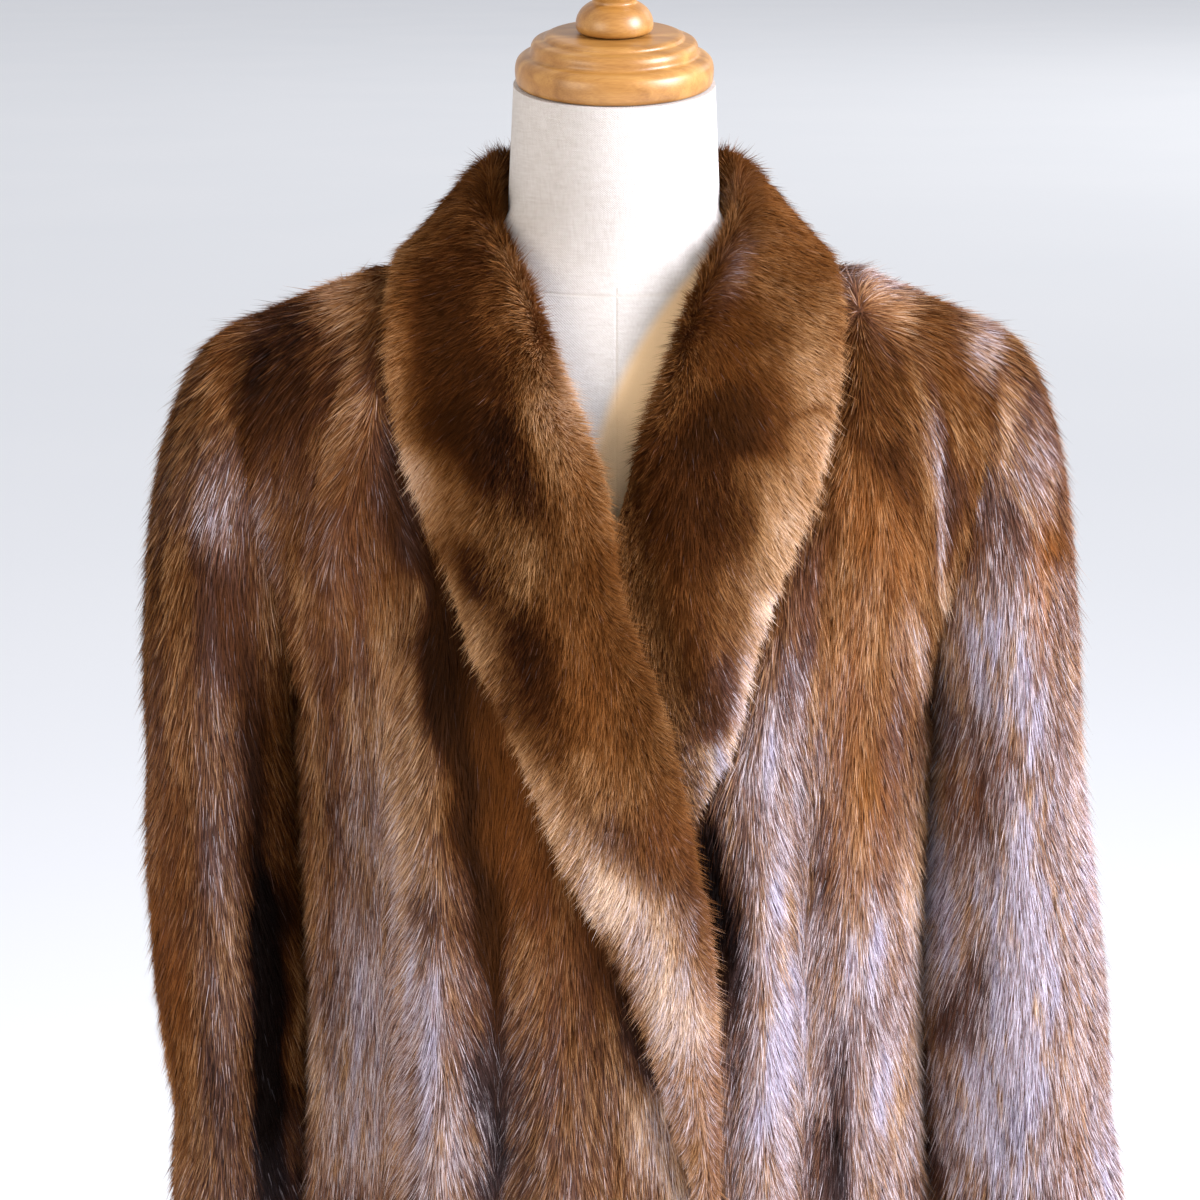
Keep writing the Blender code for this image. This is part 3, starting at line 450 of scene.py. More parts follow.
def addWhorl(panel):    # hairs run out from one point, as at a paw's place in the pelt
    away = panel["root"] - np.array(whorl["at"])
    distance = np.linalg.norm(away, axis=-1, keepdims=True)
    weight = np.exp(-(distance / whorl["reach"]) ** 2) * whorl["pull"]
    flow = panel["flow"] + unit(away) * weight
    panel["flow"] = onSurface(flow, panel["out"])


fineRows = {"body": 62, "yoke": 22, "side": 28, "lap": 12, "backHalf": (8, 20)}
# Where fur lies under another panel, each from where it starts to where it is whole: above the collar's
# end, beyond the collar's outer line, inside the right front's edge, and under the back collar.
covers = {
    "collarEnd": (-0.022, -0.008), "pressed": (-0.010, 0.0), "inward": (0.004, 0.014),
    "lap": (-0.014, -0.004), "backCollar": (0.76, 0.86),
}
# How the hairs are combed: towards the sleeves on the yoke, and down the sides of the folds.
combing = {"yokeFrom": 1.24, "yokeOver": 0.10, "yoke": 0.35, "right": 1.0, "left": 0.6, "back": 1.2,
           "sleeveFrom": 1.20, "sleeveOver": 0.10, "sleeve": 0.30}


def placeAt(point, normal, low, high, depth, facing):    # a pelt point, a root and their direction
    height = rootHeight(low, high, depth)
    return keptApart(point + normal * low, facing), keptApart(point + normal * height, facing), normal


def fineLevels():
    start = nap["hem"] / (coat["underarmZ"] - coat["hemZ"])
    lower = [mix(start, 1.0, r / fineRows["body"]) for r in range(fineRows["body"])]
    return lower + [1.0 + k / fineRows["yoke"] for k in range(fineRows["yoke"] + 1)]


def frontPanel(side):
    rows = []
    endZ = coat["rightCollarEnd"] if side == right else coat["leftCollarEnd"]
    for level in fineLevels():
        collarX = xOnRow(side, "collar", level)
        edgeX = xOnRow(side, "edge", level) + side * nap["edge"]
        reach = sideReach(level)
        start = math.asin(collarX / reach)
        turns = [turnAt(reach * math.sin(mix(side * math.pi / 2, start, k / fineRows["side"])), level)
                 for k in range(fineRows["side"])]
        turns += [turnAt(mix(collarX, edgeX, k / fineRows["lap"]), level)
                  for k in range(fineRows["lap"] + 1)]
        rows.append([])
        for turn in turns:
            point, normal = bodyFrame(turn, level, front)
            beyond = (collarX - point.x) * side
            collared = smooth(*covers["collarEnd"], point.z - endZ)
            under = smooth(*covers["pressed"], beyond) * collared
            low, high = frontLayers(side, point.x, point.z, under)
            seen = 1.0 - smooth(*covers["inward"], beyond) * collared
            if side == left and point.z < coat["lapTop"]:
                seen *= smooth(*covers["lap"], point.x - columnAt(rightFront, "edge", point.z))
            rows[-1].append((*placeAt(point, normal, low, high, sideNap(point.x, level), front), seen))
    panel = panelOf(rows)
    sideways = np.zeros_like(panel["root"])
    yoke = np.clip((panel["root"][..., 2] - combing["yokeFrom"]) / combing["yokeOver"], 0.0, 1.0)
    sideways[..., 0] = side * combing["yoke"] * yoke
    return finished(panel, combing["right" if side == right else "left"], sideways)


def backPanel():
    underNeck, beside = fineRows["backHalf"]
    neckRatio = coat["neckX"] / coat["shoulderX"]
    half = [neckRatio * math.sin(math.pi / 2 * k / underNeck) ** (2.0 / coat["necklineRound"])
            for k in range(underNeck)]
    start = math.asin(neckRatio ** (coat["roundness"] / 2.0))
    half += [math.sin(mix(start, math.pi / 2, k / beside)) ** (2.0 / coat["roundness"])
             for k in range(beside + 1)]
    ratios = [-r for r in reversed(half[1:])] + half
    rows = []
    for level in fineLevels():
        rows.append([])
        for ratio in ratios:
            neckward = min(abs(ratio) / neckRatio, 1.0)
            dip = (1.0 - neckward ** coat["necklineRound"]) ** (1.0 / coat["necklineRound"])
            top = 2.0 - coat["backNeckDip"] * dip
            here = level if level <= 1.0 else 1.0 + (level - 1.0) * (top - 1.0)
            turn = math.copysign(math.asin(min(abs(ratio), 1.0) ** (coat["roundness"] / 2.0)), ratio)
            point, normal = bodyFrame(turn, here, back)
            low = -coat["pelt"]
            high = mix(0.0, coat["pressedPelt"] - coat["pelt"], underBackCollar(point.x, here))
            away = math.hypot(point.x / coat["collarShoulderX"], (2.0 - here) / coat["backCollarDip"])
            seen = smooth(*covers["backCollar"], away) if here > 1.0 else 1.0
            rows[-1].append((*placeAt(point, normal, low, high, sideNap(point.x, here), back), seen))
    panel = panelOf(rows)
    return finished(panel, combing["back"], np.zeros_like(panel["root"]))


# Collar: a roll that stands up at the closing edge and at the neck, and thins to its outer edge.
# Its roundness and its fall have one value at the chest and one behind the neck.
collarFine = {
    "behind": 26, "across": 12, "round": (0.009, 0.014), "rim": 0.0045, "nap": 0.0042, "nape": 0.14,
    "fallStart": (1.5, 1.15), "fallEnd": (1.25, 1.5), "innerShare": 0.6, "innerMore": 0.0005,
    "outerY": 0.042, "mostRound": (0.8, 0.3), "endReach": 0.004, "taper": (-0.03, 0.06), "leastWidth": 0.02,
    "uprightFrom": 0.3,
}
# The collar's hairs fan out from its crest, and stand higher and denser there.
collarComb = {
    "crestAt": 0.10, "crestOver": 0.12, "turned": 0.9, "chestFrom": 1.28, "chestOver": 0.09,
    "neckFan": (1.6, 0.5, 0.6), "chestFan": (0.40, 1.3), "fall": (0.9, 0.75), "lift": (0.45, 0.65),
    "thick": 0.5, "shorter": 0.35, "lapFrom": 0.014, "lapOver": 0.008, "behindOver": 0.02, "behindShare": 0.2,
}


def collarStand(side, level):
    y = abs(barePoint(turnAt(xOnRow(side, "edge", level), level), level, front).y)
    return mix(coat["rollShoulder"], coat["rollChest"], smooth(0.0, collarFine["outerY"], y))


def collarHeight(stand, rim, bulge, s, upright):
    start, end = mix(*collarFine["fallStart"], upright), mix(*collarFine["fallEnd"], upright)
    fall = (1.0 - min(s, 1.0) ** start) ** end
    return rim + (stand - rim) * fall + bulge * math.sin(math.pi * s)


def collarPath(width, stand, upright):    # places across the collar, with a height where it is fixed
    radius = mix(*collarFine["round"], upright)
    top = stand - collarFine["nap"]
    ofTop, ofWidth = collarFine["mostRound"]
    radius = min(radius, top * ofTop, width * ofWidth)
    inset = nap["edge"] / width
    lower = (top - radius) * collarFine["innerShare"] + collarFine["innerMore"]
    path = [(inset, nap["leather"]), (inset, lower)]
    for angle in (0.0, 30.0, 60.0):
        a = math.radians(angle)
        path.append((inset + radius * (1.0 - math.cos(a)) / width, top - radius * (1.0 - math.sin(a))))
    first = inset + radius / width
    last = 1.0 - collarFine["rim"] / width
    count = collarFine["across"]
    path += [(mix(first, last, k / (count - 1)), None) for k in range(count)]
    return path + [(last, nap["leather"])]


def collarStation(frameAt, stand, rim, bulge, upright, width, taper):
    places = []
    for s, fixed in collarPath(width, stand * taper + collarFine["nap"] * (1.0 - taper), upright):
        point, direction, squash = frameAt(s)
        full = mix(coat["pressedPelt"], collarHeight(stand, rim, bulge, s, upright), taper)
        height = full - collarFine["nap"] if fixed is None else min(fixed, full - collarFine["nap"])
        height = max(mix(height, nap["leather"], squash), nap["leather"])
        places.append((point + direction * coat["layerGap"] * 0.5, point + direction * height, direction,
                       s, squash))
    return places


def collarRows(side):    # up the closing edge, then round behind the neck to the centre back
    rows = []
    endZ = coat["rightCollarEnd"] if side == right else coat["leftCollarEnd"]
    levels = [level for level in fineLevels()
              if level > 1.0 or mix(coat["hemZ"], coat["underarmZ"], level) >= endZ - collarFine["endReach"]]
    for level in levels:
        edgeX, collarX = xOnRow(side, "edge", level), xOnRow(side, "collar", level)
        stand = collarStand(side, level)
        start = mix(coat["rollChest"], coat["rollShoulder"], collarFine["uprightFrom"])
        upright = smooth(start, coat["rollShoulder"], stand)

        def frameAt(s):
            point, normal = bodyFrame(turnAt(mix(edgeX, collarX, s), level), level, front)
            high = frontLayers(side, point.x, point.z, 1.0)[1]
            direction = normal.lerp(Vector((0.0, 0.0, 1.0)), upright * (1.0 - s) ** 2).normalized()
            squash = squashed(point.x, point.z) if side == left else 0.0
            return keptApart(point + normal * high, front), direction, squash

        z = frameAt(0.0)[0].z
        taper = smooth(*collarFine["taper"], z - endZ) if side == right and level <= 1.0 else 1.0
        width = max((frameAt(1.0)[0] - frameAt(0.0)[0]).length, collarFine["leastWidth"])
        rim = mix(coat["rimChest"], coat["rimNeck"], upright)
        bulge = coat["bulgeChest"] * (1.0 - upright)
        rows.append(collarStation(frameAt, stand, rim, bulge, upright, width, taper))
    for station in range(1, collarFine["behind"] + 1):
        psi = math.pi / 2 * station / collarFine["behind"]
        bend = 2.0 / coat["necklineRound"]
        cosine, sine = max(math.cos(psi), 0.0), math.sin(psi)
        inner = (coat["neckX"] * cosine ** bend, 2.0 - coat["backNeckDip"] * sine ** bend)
        outer = (coat["collarShoulderX"] * cosine, 2.0 - coat["backCollarDip"] * sine)

        def frameAt(s):
            x, level = side * mix(inner[0], outer[0], s), mix(inner[1], outer[1], s)
            point, normal = bodyFrame(turnAt(x, level), level, back)
            lean = Vector((0.0, collarFine["nape"] * sine, 1.0)).normalized()
            lift = coat["pressedPelt"] - coat["pelt"] + 2 * coat["layerGap"]
            return keptApart(point + normal * lift, back), normal.lerp(lean, (1.0 - s) ** 2).normalized(), 0.0

        width = (frameAt(1.0)[0] - frameAt(0.0)[0]).length
        stand = mix(coat["rollShoulder"], coat["rollBack"], sine)
        bulge = coat["bulgeBack"] * sine
        rows.append(collarStation(frameAt, stand, coat["rimNeck"], bulge, 1.0, width, 1.0))
    return rows


def collarPanel(side):
    rows = collarRows(side)
    under, over, outward, shares, squashes = [[[place[k] for place in row] for row in rows]
                                              for k in range(5)]
    panel = {"inner": gridOf(under), "root": gridOf(over), "closed": False}
    for name in ("inner", "root"):
        panel[name][-1, :, 0] = side * coat["furGap"] / 2.0
    outward, shares = gridOf(outward), np.array(shares)
    toRim = np.gradient(panel["root"], axis=1)
    middle = unit(panel["inner"][:, -1:, :] - panel["inner"][:, :1, :])
    crestAt, crestOver = collarComb["crestAt"], collarComb["crestOver"]
    outward = outward - middle * (1.0 - np.minimum(shares / crestAt, 1.0))[..., None] * collarComb["turned"]
    panel["bare"] = unit(outward)
    normals = gridNormals(panel["root"], panel["bare"], False)
    panel["out"] = normals
    above = panel["inner"][:, :1, 2] - collarComb["chestFrom"]
    chest = 1.0 - np.clip(above / collarComb["chestOver"], 0.0, 1.0)
    down = np.zeros_like(normals)
    down[..., 2] = -1.0
    crest = np.exp(-((shares - crestAt) / crestOver) ** 2)
    wider, start, crestward = collarComb["neckFan"]
    turnAway, spread = collarComb["chestFan"]
    fan = mix(shares * wider + start + crestward * crest, (shares - turnAway) * spread,
              chest * chest * (3.0 - 2.0 * chest))
    most, less = collarComb["fall"]
    fall = most - less * crest * (1.0 - chest)
    panel["flow"] = onSurface(down * fall[..., None] + unit(toRim) * fan[..., None], normals)
    least, more = collarComb["lift"]
    panel["lift"] = least + more * crest
    panel["size"] = 1.0 - collarComb["shorter"] * np.clip(np.array(squashes) * 2.0 - 1.0, 0.0, 1.0)
    panel["cover"] = 1.0 + collarComb["thick"] * crest
    if side == left:
        x, z = panel["root"][..., 0], panel["root"][..., 2]
        edge = np.array([columnAt(rightFront, "edge", h) for h in z.reshape(-1)]).reshape(z.shape)
        lapped = (z < coat["lapTop"]) & (panel["root"][..., 1] < 0.0)
        beyond = np.clip((x - edge + collarComb["lapFrom"]) / collarComb["lapOver"], 0.0, 1.0)
        panel["cover"] *= np.where(lapped, beyond, 1.0)
    behind = panel["root"][..., 1] / collarComb["behindOver"] + collarComb["behindShare"]
    thinned(panel, np.clip(behind, 0.0, 1.0))
    return panel


# Sleeves: the armhole's loop runs over the shoulder's end into the hanging sleeve.
sleeveFine = {
    "points": 44, "head": 9, "rows": 42, "gap": 0.0004, "creaseReach": 0.10, "creaseWidth": 0.045,
    "drop": (84.0, 24.0), "leave": 0.75, "lean": -0.15, "inward": (2.0, 0.9), "hidden": (1.5, 0.1),
    "swellFrom": 1.02, "swellOver": 0.15,
}


def armholePoint(angle, shrink):    # angle 0 at the shoulder point, then front, underarm, back
    depth = coat["armholeFront"] if math.sin(angle) > 0.0 else coat["armholeBack"]
    rise = (1.0 + math.cos(angle)) / 2.0
    reach = mix(bodyTable["side"][-1], coat["shoulderX"], rise ** coat["armholeLean"])
    out = Vector((0.0, -math.sin(angle), math.cos(angle)))
    middle = (coat["shoulderZ"] + coat["underarmZ"]) / 2
    half = (coat["shoulderZ"] - coat["underarmZ"]) / 2
    return Vector((reach, -depth * math.sin(angle), middle + half * math.cos(angle))) - out * shrink


def sleeveSection(table, z, angle, shrink):
    inner, outer = columnAt(table, "inner", z), columnAt(table, "outer", z)
    middle, half = (inner + outer) / 2.0, (outer - inner) / 2.0 - shrink
    depth = columnAt(table, "depth", z) - shrink
    crease = 0.0
    for foldAngle, foldZ, width, height in sleeveFolds:
        turn = (angle / math.pi - foldAngle) * sleeveFine["creaseReach"]
        crease += height * math.exp(-((z - foldZ) / width) ** 2 - (turn / sleeveFine["creaseWidth"]) ** 2)
    half += crease
    depth += crease
    return Vector((middle + half * math.cos(angle), columnAt(table, "y", z) - depth * math.sin(angle),
                   z + columnAt(table, "tip", z) * math.cos(angle)))


def sleeveHead(table, angle, shrink, t):
    topZ = table["z"][-1]
    start = armholePoint(angle, shrink) + Vector((sleeveFine["gap"], 0.0, 0.0))
    end = sleeveSection(table, topZ, angle, shrink)
    drop = math.radians(mix(*sleeveFine["drop"], (1.0 + math.cos(angle)) / 2.0))
    reach = (end - start).length
    leave = Vector((math.cos(drop), sleeveFine["lean"] * math.sin(angle), -math.sin(drop)))
    leave = leave * reach * sleeveFine["leave"]
    arrive = (end - sleeveSection(table, topZ - 0.02, angle, shrink)).normalized() * -reach
    return curved(start, leave, end, arrive, t)


def sleeveGrid(side, angles, shrink):
    table = rightSleeve if side == right else leftSleeve
    cuffZ, topZ = table["z"][0] + nap["hem"], table["z"][-1]
    head, length = sleeveFine["head"], sleeveFine["rows"]
    rows = [[sleeveHead(table, a, shrink, row / head) for a in angles] for row in range(head)]
    rows += [[sleeveSection(table, mix(topZ, cuffZ, row / length), a, shrink) for a in angles]
             for row in range(length + 1)]
    grid = gridOf(rows)
    grid[..., 0] *= side
    return grid


def sleevePanel(side):
    angles = [math.tau * c / sleeveFine["points"] for c in range(sleeveFine["points"])]
    inner, root, full = [sleeveGrid(side, angles, shrink)
                         for shrink in (coat["pelt"], nap["root"], nap["side"])]
    steep, less = sleeveFine["inward"]
    inward = np.clip(-np.cos(np.array(angles)) * steep - less, 0.0, 1.0)[None, :, None]
    fromSeam = np.clip(np.arange(len(full)) / sleeveFine["head"], 0.0, 1.0)[:, None, None]
    below = np.clip((sleeveFine["swellFrom"] - full[..., 2:]) / sleeveFine["swellOver"], 0.0, 1.0)
    swell = 1.0 + nap["lowSwell"] * below
    root = mix(root, full, inward * fromSeam * swell)
    panel = {"inner": inner, "root": root, "bare": unit(root - inner), "cover": np.ones(root.shape[:2]),
             "closed": True}
    panel = finished(panel, 0.0, np.zeros_like(root))
    sideways = np.zeros_like(root)
    sideways[..., 0] = side * combing["sleeve"]
    crest = np.clip((root[..., 2:] - combing["sleeveFrom"]) / combing["sleeveOver"], 0.0, 1.0)
    panel["flow"] = onSurface(panel["flow"] + sideways * crest, panel["out"])
    panel["cover"] = np.ones(root.shape[:2])
    steep, more = sleeveFine["hidden"]
    hidden = np.clip(panel["out"][..., 1] * steep + more, 0.0, 1.0)
    thinned(panel, np.maximum(lowPart(panel), hidden))
    return panel


# The view that the coat is shown in. Its picture is counted in points, from the upper left corner.
view = {"lens": 84.57, "sensor": 36.0, "eye": (-0.0075, -1.51544, 1.54788), "lookDown": 14.0,
        "points": 1200}
# About how far forward the fur lies, near enough to carry a mark from the view's picture onto it: heights
# up the front and how far out it lies there, the body's half width and roundness, and a sleeve's section.
carrying = {"heights": (0.87, 0.95, 1.04, 1.13, 1.20, 1.26, 1.30, 1.33, 1.36),
            "out": (0.146, 0.141, 0.137, 0.134, 0.125, 0.110, 0.090, 0.070, 0.040),
            "half": 0.19, "round": 2.3, "beside": 0.02, "sleeveX": 0.22, "sleeveHalf": 0.045,
            "sleeveForward": 0.01, "sleeveOut": 0.078, "start": -0.13, "steps": 20, "digits": 3}
# Marks in the fur, for each piece: points across and down the view's picture to the middle, half width
# and half height in points, lean to the left in degrees, then how much lighter, warmer and more silvery
# it is there, in hundredths. They are partly the pelts' own colour and partly painted light: painted shade
# in valleys, creases, under the collar's edge and in the gap between sleeve and body, painted highlights on
# ridges and edges, and the silvery column is painted sheen of the window's light.
marks = {
    "furFrontRight": (
        (400, 1070, 110, 170, 0, 7, -4, 34), (345, 640, 60, 230, 4, 4, 0, 10),
        (545, 1120, 70, 110, 0, 2, 0, 12), (285, 370, 38, 90, 10, -30, 0, 0),
        (345, 290, 32, 44, 15, 36, 40, 0), (330, 275, 40, 16, 20, 12, 20, 0),
        (222, 370, 22, 45, 15, 5, 35, 0), (345, 430, 16, 70, 25, 22, 10, 0),
        (325, 400, 9, 45, 30, -22, 0, 0), (385, 440, 14, 60, -5, -35, 0, 0),
        (395, 520, 16, 60, -15, -45, 0, 0), (350, 530, 40, 60, 10, -12, 15, 0),
        (432, 600, 12, 60, -12, -50, 0, 0), (437, 690, 18, 80, -5, -60, 0, -6),
        (455, 650, 18, 40, -10, -40, 0, 0), (350, 610, 40, 45, 10, -5, 30, 0),
        (388, 650, 22, 70, -5, 2, 26, -10), (312, 900, 8, 330, 0, 14, 5, 0),
        (281, 820, 13, 260, 0, -8, 10, 0), (262, 700, 8, 150, 0, -35, 0, 0),
        (360, 1000, 34, 230, 4, 8, -10, 35), (335, 760, 10, 150, 0, -15, 10, 0),
        (402, 760, 34, 150, 0, 26, -8, 6), (428, 1040, 26, 190, -6, 22, -12, 42),
        # Painted shade down the deep valley beside the collar: the dark marks near 470 to 490 across.
        (472, 780, 22, 200, -4, -105, -10, -20), (486, 980, 15, 150, -5, -50, 5, -10),
        (492, 1130, 13, 90, -8, -50, 0, 0), (492, 790, 18, 140, -4, -30, 25, 0),
        (526, 840, 20, 90, -8, -34, 40, 0), (545, 1050, 40, 150, -4, 0, 10, 2),
        (590, 940, 28, 44, -15, -22, 10, 0), (612, 960, 14, 60, -25, -40, 0, 0),
        (640, 1030, 12, 60, -20, -42, 0, 0), (658, 1140, 28, 80, -16, 44, -10, 42),
        (425, 1120, 40, 80, 0, 12, -4, 10), (335, 1130, 42, 80, 0, 16, 0, 12),
        (275, 520, 12, 50, 0, 5, -10, 35),
    ),
    "furFrontLeft": (
        (820, 1010, 130, 230, 0, 16, -10, 46), (770, 760, 60, 80, 0, 8, 0, 22),
        (868, 280, 38, 26, 0, 30, -12, 66), (882, 328, 24, 22, -20, 34, 20, 0),
        (980, 318, 24, 20, -40, 54, 0, 52), (922, 437, 9, 22, -10, 2, -5, 30),
        (950, 480, 15, 34, -10, -26, -5, 4), (950, 610, 15, 80, -5, 24, 5, 12),
        (874, 385, 20, 46, 0, -12, 10, 0), (910, 400, 9, 90, -8, 18, 10, 0),
        (888, 455, 12, 40, -15, -30, 0, 0), (865, 500, 20, 70, -12, 0, 40, 0),
        (900, 540, 20, 70, -15, 8, 30, 0), (933, 510, 5, 85, -6, 35, -10, 60),
        (943, 500, 7, 80, -8, -35, 0, 0), (860, 650, 50, 110, 0, 8, 35, 0),
        (820, 540, 16, 60, 20, -18, 10, 0), (797, 660, 14, 60, 12, -22, 0, 10),
        (808, 680, 8, 40, 0, 10, 0, 40), (770, 1000, 26, 220, 0, 17, -16, 45),
        # Painted shade beside the lap's edge: the dark mark at 715 across.
        (770, 740, 30, 40, 0, 5, -5, 35), (715, 905, 22, 105, -6, -72, -10, -40),
        (735, 1050, 14, 80, 0, -10, 0, -8), (735, 1160, 14, 50, 0, 10, 10, 10),
        (826, 875, 12, 50, -5, -24, 5, -20), (800, 1000, 22, 170, 0, 10, -5, 26),
        (848, 1120, 15, 90, 0, -40, -5, -24), (868, 815, 36, 72, 0, 6, 35, -22),
        (872, 940, 26, 50, 0, 22, -16, 42), (880, 1110, 26, 110, 0, 0, -10, 18),
        (914, 960, 9, 120, -6, 32, 10, 10), (925, 1120, 9, 90, -4, 35, 0, 20),
        (890, 1130, 28, 90, 0, 20, -5, 30), (825, 1165, 24, 40, 0, -30, 0, -15),
        (912, 660, 10, 50, -10, 25, 0, 35), (940, 350, 40, 45, -30, -5, 20, 0),
    ),
    "furSleeveRight": (
        (165, 375, 16, 30, 25, 10, 0, 15), (218, 520, 26, 50, 8, 10, -10, 50),
        (187, 520, 5, 45, 0, 15, 10, 0), (225, 625, 18, 60, -5, -40, 15, 0),
        (165, 800, 12, 300, 2, 8, 10, 0), (216, 860, 16, 200, 0, 12, -5, 25),
        # Painted shade in the gap between sleeve and body: the near-black marks at 250 and 268 across.
        (250, 800, 12, 160, 0, -30, 0, 0), (268, 1060, 15, 200, 0, -105, -30, -10),
        (172, 980, 14, 70, -10, -18, 25, 0), (168, 1120, 8, 80, -8, 10, 15, 0),
        (210, 1100, 18, 100, 0, 8, -10, 12), (215, 370, 26, 45, 15, 5, 30, 0),
    ),
    "furSleeveLeft": (
        (1020, 900, 110, 300, 0, 13, -8, 36), (1020, 600, 56, 100, 0, 10, 0, 22),
        (957, 302, 30, 22, -40, 32, -15, 78), (1000, 390, 20, 62, -15, 33, 18, 0),
        (1042, 470, 16, 60, -15, 20, -5, 36), (1030, 500, 5, 60, -15, 35, 0, 30),
        (985, 490, 26, 70, -8, -18, 10, 12), (985, 480, 14, 14, 0, 10, -10, 40),
        (985, 640, 16, 80, 0, 18, -30, 75), (1060, 545, 17, 36, 0, -20, 36, -32),
        (985, 540, 24, 40, 0, 0, 20, -28), (950, 620, 15, 80, -5, 26, 5, 15),
        (1045, 600, 14, 70, -5, 2, 46, -26), (1030, 680, 20, 80, 0, 24, -20, 60),
        (950, 790, 24, 55, 0, 6, 42, -12), (926, 770, 12, 70, 0, 24, -20, 55),
        (936, 890, 24, 80, 0, 28, -25, 75), (981, 780, 8, 90, 0, -28, 10, -15),
        (1010, 750, 12, 50, 0, -6, 40, -15), (1024, 1010, 34, 190, 0, 34, -50, 115),
        (967, 1000, 18, 66, 8, -42, 10, -25), (965, 1100, 24, 44, 0, 15, -10, 50),
        (1015, 1120, 20, 40, -5, -36, -10, -5), (943, 1158, 9, 22, 0, -25, 5, -10),
        (972, 1140, 24, 70, 0, 26, -10, 40), (1025, 1185, 20, 20, 0, 20, -30, 60),
        (1080, 950, 24, 260, -2, 16, 0, 30), (1098, 920, 22, 300, -3, 2, -15, 38),
        (1085, 1190, 34, 90, 0, 14, -20, 50), (940, 350, 40, 45, -30, -5, 20, 0),
    ),
    "furCollarRight": (
        (535, 330, 24, 120, -14, 31, 18, 0), (420, 225, 30, 50, 25, 10, 5, 0),
        (578, 450, 26, 90, -14, 20, 18, 0), (470, 330, 44, 100, 0, -17, 0, 0),
        (440, 330, 30, 40, 0, -12, 0, 0), (488, 430, 44, 34, 10, -22, 0, 0),
        (402, 400, 26, 140, -4, 30, 12, 0), (425, 500, 22, 60, -20, 22, 15, 0),
        (446, 490, 40, 36, -20, 15, 10, 0), (478, 550, 14, 30, 0, -20, 0, 0),
        (522, 545, 26, 50, 0, 20, 0, 0), (470, 620, 26, 60, -28, 34, 0, 3),
        (538, 645, 26, 56, 0, -24, 0, 0), (596, 690, 26, 120, -12, 6, 22, 0),
        (528, 775, 24, 64, -28, 36, 0, 5), (588, 870, 32, 60, -35, 40, 0, 16),
        (592, 785, 36, 46, -20, 20, 5, 0), (652, 940, 34, 90, -25, 54, -10, 40),
        (686, 1080, 30, 130, -5, 40, -10, 40), (660, 820, 24, 50, -10, 5, 30, 3),
        (490, 210, 30, 50, 20, 4, 6, 0),
    ),
    "furCollarLeft": (
        (752, 245, 44, 60, -15, 8, 15, 0), (726, 258, 13, 30, 20, 6, 0, 28),
        (722, 325, 28, 36, 0, -14, 5, 0), (755, 365, 16, 16, 0, 14, 0, 0),
        (738, 410, 46, 42, 0, -54, 0, 0), (818, 345, 34, 44, 0, 16, 6, 0),
        (805, 402, 24, 5, 0, -20, 0, 0), (806, 440, 44, 90, 10, 25, 10, 2),
        (782, 470, 34, 80, 20, 16, 5, 0), (834, 468, 22, 70, 10, 42, 6, 12),
        (838, 430, 7, 60, 4, 6, 5, 3), (690, 490, 46, 70, 0, -26, 0, 0),
        (680, 620, 30, 70, -15, -8, 5, 0), (770, 575, 38, 66, 25, 28, 0, 8),
        (755, 640, 20, 46, 15, 42, -5, 30), (742, 710, 16, 44, 5, 52, -8, 46),
        (712, 690, 20, 50, 0, -12, 0, 12), (718, 782, 27, 44, -8, 80, -15, 95),
        (705, 728, 20, 20, 0, -5, 30, 0),
    ),
}


def forwardOf(x, z, sleeve):    # about where the fur's front lies
    if sleeve:
        r = min(abs(abs(x) - carrying["sleeveX"]) / carrying["sleeveHalf"], 1.0)
        return -carrying["sleeveForward"] - carrying["sleeveOut"] * math.sqrt(1.0 - r * r)
    r = min(abs(x) / carrying["half"], 1.0)
    if r == 1.0:
        return -carrying["beside"]
    out = float(np.interp(z, carrying["heights"], carrying["out"]))
    return -out * (1.0 - r ** carrying["round"]) ** (1.0 / carrying["round"])


def marksOn(name):    # a piece's marks, with their x, z and half sizes on the coat, to a millimetre
    eye, tilt = np.array(view["eye"]), math.radians(view["lookDown"])
    point = view["sensor"] / view["lens"] / view["points"]    # its size at a distance of 1
    placed = []
    for across, down, halfWidth, halfHeight, lean, *paint in marks[name]:
        right, up = (across - view["points"] / 2) * point, (view["points"] / 2 - down) * point
        line = np.array([right, math.cos(tilt) + up * math.sin(tilt), up * math.cos(tilt) - math.sin(tilt)])
        y = carrying["start"]
        for _ in range(carrying["steps"]):
            place = eye + line * (y - eye[1]) / line[1]
            y = (y + forwardOf(place[0], place[2], "Sleeve" in name)) / 2
        seen = point * float(np.linalg.norm(place - eye))    # a point's size on the coat
        sizes = (float(place[0]), float(place[2]), halfWidth * seen, halfHeight * seen)
        placed.append((*[round(size, carrying["digits"]) for size in sizes], lean, *paint))
    return placed


# Node trees. This one helper adds a node with its settings and the links or values of its inputs,
# in their order or by name, and gives back one of its outputs, or all of them for None.
def addNode(tree, kind, inputs=(), output=0, stops=(), **settings):
    node = tree.nodes.new(kind)
    for name, value in settings.items():
        setattr(node, name, value)
    if stops:
        elements = node.color_ramp.elements
        while len(elements) < len(stops):
            elements.new(0.5)
        for element, (place, colour) in zip(elements, stops):
            element.position, element.color = place, linear(colour)
    fillInputs(tree, node, inputs)
    return node.outputs if output is None else node.outputs[output]


def fillInputs(tree, node, inputs):
    for key, value in inputs.items() if isinstance(inputs, dict) else enumerate(inputs):
        if isinstance(value, bpy.types.NodeSocket):
            tree.links.new(value, node.inputs[key])
        else:
            node.inputs[key].default_value = value


